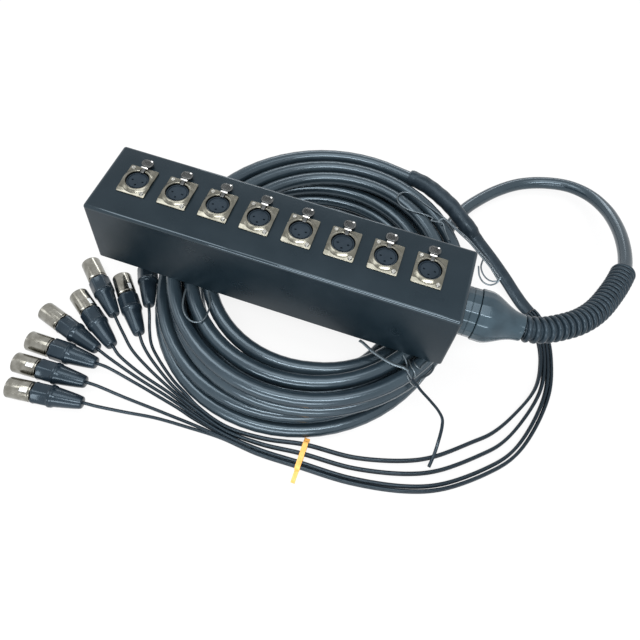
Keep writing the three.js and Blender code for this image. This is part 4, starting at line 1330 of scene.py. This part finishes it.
def cover_mesh():
    """A hollow sheet cover with closed ends, open below."""
    inner_end = BOX_END - SHEET
    inner_side = BOX_DEPTH / 2 - SHEET
    outer = prism("cover", cover_outline(0, FOLD_RADIUS, FOLD_STEPS), -BOX_END, BOX_END, along_box)
    outer = bevelled(outer, END_ROUNDING, 5, end_face_edge)
    hollow = prism("hollow", cover_outline(SHEET, 1, 6), -inner_end, inner_end, along_box)
    mouth = block("mouth", (-inner_end, -inner_side, -BOX_TOP - 2), (inner_end, inner_side, -30))
    holes = [
        round_bar("hole", socket_x(i), SOCKET_ROW_Y, BARREL_RADIUS + 0.3, BOX_TOP - 5, BOX_TOP + 5, 32)
        for i in range(SOCKET_COUNT)
    ]
    stub = round_section(STUB_RADIUS + 0.3, STUB_RADIUS + 0.3, 32)
    gland_hole = prism("gland_hole", stub, BOX_END - 5, BOX_END + 5, along_box)
    return carved("box_cover", outer, [hollow, mouth, *holes, gland_hole], angle=25)


def mark_sharp(mesh, on_line):
    """Marks an edge sharp where both its ends are on a line."""
    for edge in mesh.edges:
        if all(on_line(mesh.vertices[v].co) for v in edge.vertices):
            edge.use_edge_sharp = True


def finish_folds(mesh):
    """A glossier coat on the rounded top edges, and creases along the front fold."""
    mesh.materials.append(FOLD_PAINT)
    for face in mesh.polygons:
        slanted = 0.08 < face.normal.z < 0.997
        if slanted and face.center.z > BOX.z + (BOX_TOP - 4) * MM:
            face.material_index = 1
    for crease in FOLD_CREASES:
        turn = (1 + crease / FOLD_STEPS) * FULL_TURN / 4
        line = box_point(
            0, FOLD_RADIUS - BOX_DEPTH / 2 + FOLD_RADIUS * math.cos(turn),
            BOX_TOP - FOLD_RADIUS + FOLD_RADIUS * math.sin(turn),
        )
        near = 0.02 * MM
        mark_sharp(mesh, lambda p: abs(p.y - line.y) < near and abs(p.z - line.z) < near)


cover = piece("box_cover", cover_mesh(), PAINT, replaces=["top_shell"])
finish_folds(cover.data)


# Panel sockets
def on_panel(along, x, y):
    """Places a turned profile square to the panel, counted up from it."""
    return box_point(x, y, BOX_TOP + along)


def flange_mesh():
    """Square flange with a sloped front strip and rounded upper edges."""
    outline = rounded_outline(FLANGE_WIDTH, FLANGE_DEPTH, 1.2, 5)
    mesh = prism("flange", outline, BOX_TOP + FLANGE_BOTTOM, BOX_TOP + FLANGE_TOP)
    shape = bmesh.new()
    shape.from_mesh(mesh)
    bmesh.ops.bisect_plane(
        shape, geom=shape.verts[:] + shape.edges[:] + shape.faces[:],
        plane_co=box_point(0, STRIP_START, 0), plane_no=(0, 1, 0), dist=1e-7,
    )
    middle = on_panel((FLANGE_BOTTOM + FLANGE_TOP) / 2, 0, 0).z
    for vertex in shape.verts:
        if vertex.co.z > middle:
            y = (vertex.co.y - BOX.y) / MM
            vertex.co.z -= max(STRIP_START - y, 0) * STRIP_SLOPE * MM
    shape.to_mesh(mesh)
    shape.free()
    above = on_panel(2 * FLANGE_BOTTOM, 0, 0).z
    mesh = bevelled(mesh, 0.4, 3, lambda e: sharp_edge(e, 55) and min(v.co.z for v in e.verts) > above)
    bore = round_bar("bore", 0, 0, BARREL_RADIUS - 0.2, BOX_TOP - 2, BOX_TOP + 4, 48)
    return carved("flange", mesh, [bore])


def collar_mesh():
    """Collar with a hollow sloping flank, trimmed to the flange's width, and its barrel."""
    profile = [
        (SOCKET_BORE, -BARREL_LENGTH), (BARREL_RADIUS, -BARREL_LENGTH), (BARREL_RADIUS, 0.4), (14.25, 0.5),
        (14.25, 1.6), (14.1, 1.9), (13.3, 2.4), (12.5, 2.9), (11.6, 3.44), (11.3, 3.58), (11.05, 3.64),
        (10.75, 3.65), (10.4, 3.55), (SOCKET_BORE, 3.25), (SOCKET_BORE, 0),
    ]
    half = FLANGE_WIDTH / 2 - 0.04
    mesh = turned("collar", profile, 64, on_panel, loop=True)
    keep = block("keep", (-half, -15, BOX_TOP - 25), (half, 15, BOX_TOP + 6))
    mesh = carved("collar", mesh, [keep], "INTERSECT")
    notch = block("notch", (-2.5, 7.5, BOX_TOP + 2.02), (2.5, 15, BOX_TOP + 6))
    return carved("collar", mesh, [notch], angle=34)


def insert_mesh():
    """Contact insert: a ring groove, a key slot and three countersunk holes."""
    top = INSERT_TOP
    profile = [
        (POLE, -18), (9.6, -18), (9.85, -17.7), (9.85, top - 0.5), (9.6, top - 0.15), (9.2, top),
        (8.7, top), (8.55, top - 0.15), (8.5, top - 0.8), (8.0, top - 0.8), (7.95, top - 0.1),
        (7.8, top + 0.05), (POLE, top + 0.05),
    ]
    contact = [
        (POLE, top - 1.4), (0.8, top - 1.4), (0.8, top - 0.3), (1.15, top + 0.1), (1.15, top + 1),
        (POLE, top + 1),
    ]
    mesh = turned("insert", profile, 48, on_panel)
    holes = []
    for k in range(3):
        angle = -k * FULL_TURN / 4
        x, y = CONTACT_CIRCLE * math.cos(angle), CONTACT_CIRCLE * math.sin(angle)
        holes.append(turned("contact", contact, 20, lambda along, a, b: on_panel(along, x + a, y + b)))
    key = block("key", (-1.1, -9.2, BOX_TOP + top - 0.7), (1.1, -7.4, BOX_TOP + top + 1))
    return carved("insert", mesh, [*holes, key])


def glint_bead_mesh(top):
    """A small bright bead on the thumb pad's back edge. It is a painted highlight: it stands where the pad's
    rounded edge catches the light.
    """
    rings = []
    for k in range(13):
        share = -1 + k / 6
        size = max(math.sqrt(1 - share * share), POLE)
        rings.append([
            box_point(2.6 + 1.3 * share, 22.9 + 0.9 * size * math.cos(a), top + 0.9 * size * math.sin(a))
            for a in [j * FULL_TURN / 16 for j in range(16)]
        ])
    return loft("glint_bead", rings)


def latch_meshes():
    """Push latch: a neck through the collar and a thumb pad, then its cross bar and a bright bead, the bead
    being a painted highlight.
    """
    low = BOX_TOP + LATCH_BOTTOM
    neck_top = low + 1.4
    neck = bevelled(block("neck", (-1.6, 8.5, low), (1.6, 17, neck_top)), 0.3, 2, sharp_edge)
    cross = prism(
        "cross", round_section(0.8, 0.8, 16), -3.1, 3.1, lambda y, z, x: box_point(x, 14.2 + y, neck_top + z)
    )
    cross = bevelled(cross, 0.3, 2, lambda e: sharp_edge(e, 60))
    pad_outline = [(x, y + PAD_CENTRE_Y) for x, y in rounded_outline(10.6, 8.2, 3.7, 8)]
    pad = prism("pad", pad_outline, low, low + PAD_THICKNESS)
    pad = bevelled(pad, 0.35, 3, lambda e: sharp_edge(e, 60))
    glint_bead = glint_bead_mesh(low + PAD_THICKNESS)
    return tidy(joined("latch_pad", [pad, neck]), 34), tidy(joined("latch_bar", [cross, glint_bead]), 34)


def housing_mesh():
    """Flange and collar as one casting, with a sharp crease where the front strip starts."""
    mesh = joined("housing", [flange_mesh(), collar_mesh()])
    mesh.shade_smooth()
    mesh.set_sharp_from_angle(angle=math.radians(33))
    level = BOX.z + (BOX_TOP + 1.5) * MM
    mark_sharp(mesh, lambda p: abs((p.y - BOX.y) / MM - STRIP_START) < 0.01 and p.z > level)
    return mesh


def at_socket(mesh, index):
    """A copy of a mesh that was made at the middle of the box, moved to a socket."""
    made = mesh.copy()
    made.transform(Matrix.Translation((socket_x(index) * MM, SOCKET_ROW_Y * MM, 0)))
    return made


def knurl_mesh(index):
    """Small points on a thumb pad, sunk a little into it."""
    pad_top = LATCH_BOTTOM + PAD_THICKNESS
    centre = box_point(socket_x(index), SOCKET_ROW_Y + PAD_CENTRE_Y - 0.3, BOX_TOP + pad_top - 0.15)
    return KNURL.grow("latch_knurl", points_mesh([centre]), angle=10, Material=LATCH_NICKEL)


def screws_mesh():
    """Two screws to a socket. The front one sits a little lower, on the sloped strip."""
    points = []
    for i in range(SOCKET_COUNT):
        for x, y in SCREW_PLACES:
            drop = 0.15 if y < 0 else 0
            points.append(box_point(socket_x(i) + x, SOCKET_ROW_Y + y, BOX_TOP + 1.8 - drop))
    return SCREWS.grow("socket_screws", points_mesh(points), Material=SCREW_STEEL)


housing = housing_mesh()
insert = insert_mesh()
latch_pad, latch_bar = latch_meshes()
for i in range(SOCKET_COUNT):
    number = i + 1
    hinge = f"latch_{number}"
    piece(
        f"panel_socket_{number}", at_socket(housing, i),
        NICKEL, replaces=[f"connector_housing_{number}"],
    )
    piece(
        f"contact_insert_{number}", at_socket(insert, i),
        INSERT_PLASTIC, replaces=[f"connector_insert_{number}"],
    )
    piece(
        f"thumb_latch_{number}", at_socket(latch_pad, i),
        LATCH_NICKEL, body=hinge, replaces=[f"push_latch_{number}"],
    )
    # The cross bar with its bead, a painted highlight on the pad's back edge.
    piece(f"latch_bar_{number}", at_socket(latch_bar, i), BAR_STEEL_AND_GLINT, body=hinge)
    piece(f"latch_knurl_{number}", knurl_mesh(i), LATCH_NICKEL, body=hinge)
piece("socket_screws", screws_mesh(), SCREW_STEEL)


# Cable gland
def flat_sided(radius, share, angle):
    """The radius at an angle of a ring with GLAND_FLATS flat sides, share of the way from round."""
    span = FULL_TURN / GLAND_FLATS
    off = (angle + span / 2) % span - span / 2
    return radius * mixed(1, math.cos(span / 2) / math.cos(off), share)


def gland_rings(stations):
    """Rings from (radius, place along the box, how flat the sides are)."""
    sides = 8 * GLAND_FLATS
    rings = []
    for radius, along, share in stations:
        ring = []
        for j in range(sides):
            angle = (j + 0.5) * FULL_TURN / sides
            r = flat_sided(radius, share, angle)
            ring.append(box_point(along, r * math.cos(angle), r * math.sin(angle)))
        rings.append(ring)
    return rings


def gland_ring_mesh():
    """A stub through the end wall and a flat-sided ring against it, with a groove round the ring."""
    return loft("gland_ring", gland_rings([
        (GLAND_BORE, STUB_END, 0), (STUB_RADIUS - 0.2, STUB_END, 0), (STUB_RADIUS, STUB_END + 0.3, 0),
        (STUB_RADIUS, RING_START, 0), (21.2, RING_START, 1), (21.6, RING_START + 0.3, 1),
        (21.8, RING_START + 0.8, 1), (21.8, RING_START + 6.2, 1), (21.2, RING_START + 6.5, 1),
        (21.2, RING_START + 6.8, 1), (21.8, RING_START + 7.1, 1), (21.8, RING_END - 0.6, 1),
        (21.6, RING_END - 0.2, 1), (21.2, RING_END, 1), (GLAND_BORE, RING_END, 0),
    ]), ring_loop=True, angle=14)


def gland_cap_mesh():
    """Flat sides that melt into a round dome, with a lip where the cable leaves."""
    return loft("gland_cap", gland_rings([
        (22.3, CAP_START, 1), (22.7, CAP_START + 0.3, 1), (22.9, CAP_START + 0.8, 1),
        (23, CAP_FLATS_END - 0.6, 1), (22.8, CAP_FLATS_END + 2, 0.9), (22, CAP_FLATS_END + 5, 0.75),
        (20.7, CAP_FLATS_END + 8, 0.5),
        (18.9, CAP_FLATS_END + 11.5, 0.25), (17, CAP_FLATS_END + 15, 0.1), (15.2, CAP_FLATS_END + 18.5, 0),
        (13.7, CAP_FLATS_END + 22, 0), (12.6, CAP_FLATS_END + 25.5, 0), (12, CAP_FLATS_END + 29, 0),
        (11.7, CAP_END - 1.2, 0), (11.3, CAP_END - 0.4, 0), (10.4, CAP_END, 0),
        (GLAND_BORE, CAP_END, 0), (GLAND_BORE, CAP_START, 0),
    ]), ring_loop=True, angle=14)


piece("gland_ring", gland_ring_mesh(), GLAND_PLASTIC, replaces=["gland_body"])
piece("gland_dome_cap", gland_cap_mesh(), GLAND_PLASTIC, replaces=["gland_cap"])


# Inside the box, and the parts kept as they are
def loom_pieces():
    """The wiring behind the sockets: a spine from the gland, and a branch up to each socket."""
    left = socket_x(0) - 5
    spine = [box_point(x, 0, -8) for x in (left, left + 90, left + 180, 120)]
    spine += [box_point(x, 0, z) for x, z in ((132, -6), (141, -2), (150, 0))]
    branches = [
        [box_point(socket_x(i), SOCKET_ROW_Y, z) for z in (-8, 0, 8, BOX_TOP - BARREL_LENGTH - 0.3)]
        for i in range(SOCKET_COUNT)
    ]
    piece(
        "loom_spine",
        RODS.grow("loom_spine", lines_mesh([spine]), Rod_Radius=5 * MM, Rod_Sides=16, Material=JACKET),
        JACKET, replaces=["inner_loom"],
    )
    piece(
        "loom_branches",
        RODS.grow("loom_branches", lines_mesh(branches), Rod_Radius=2 * MM, Rod_Sides=10, Material=JACKET),
        JACKET,
    )


loom_pieces()
for node, material in (("base_tray", PAINT), ("gland_lock_nut", BRASS)):
    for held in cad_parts[node].material_slots:
        held.material = material
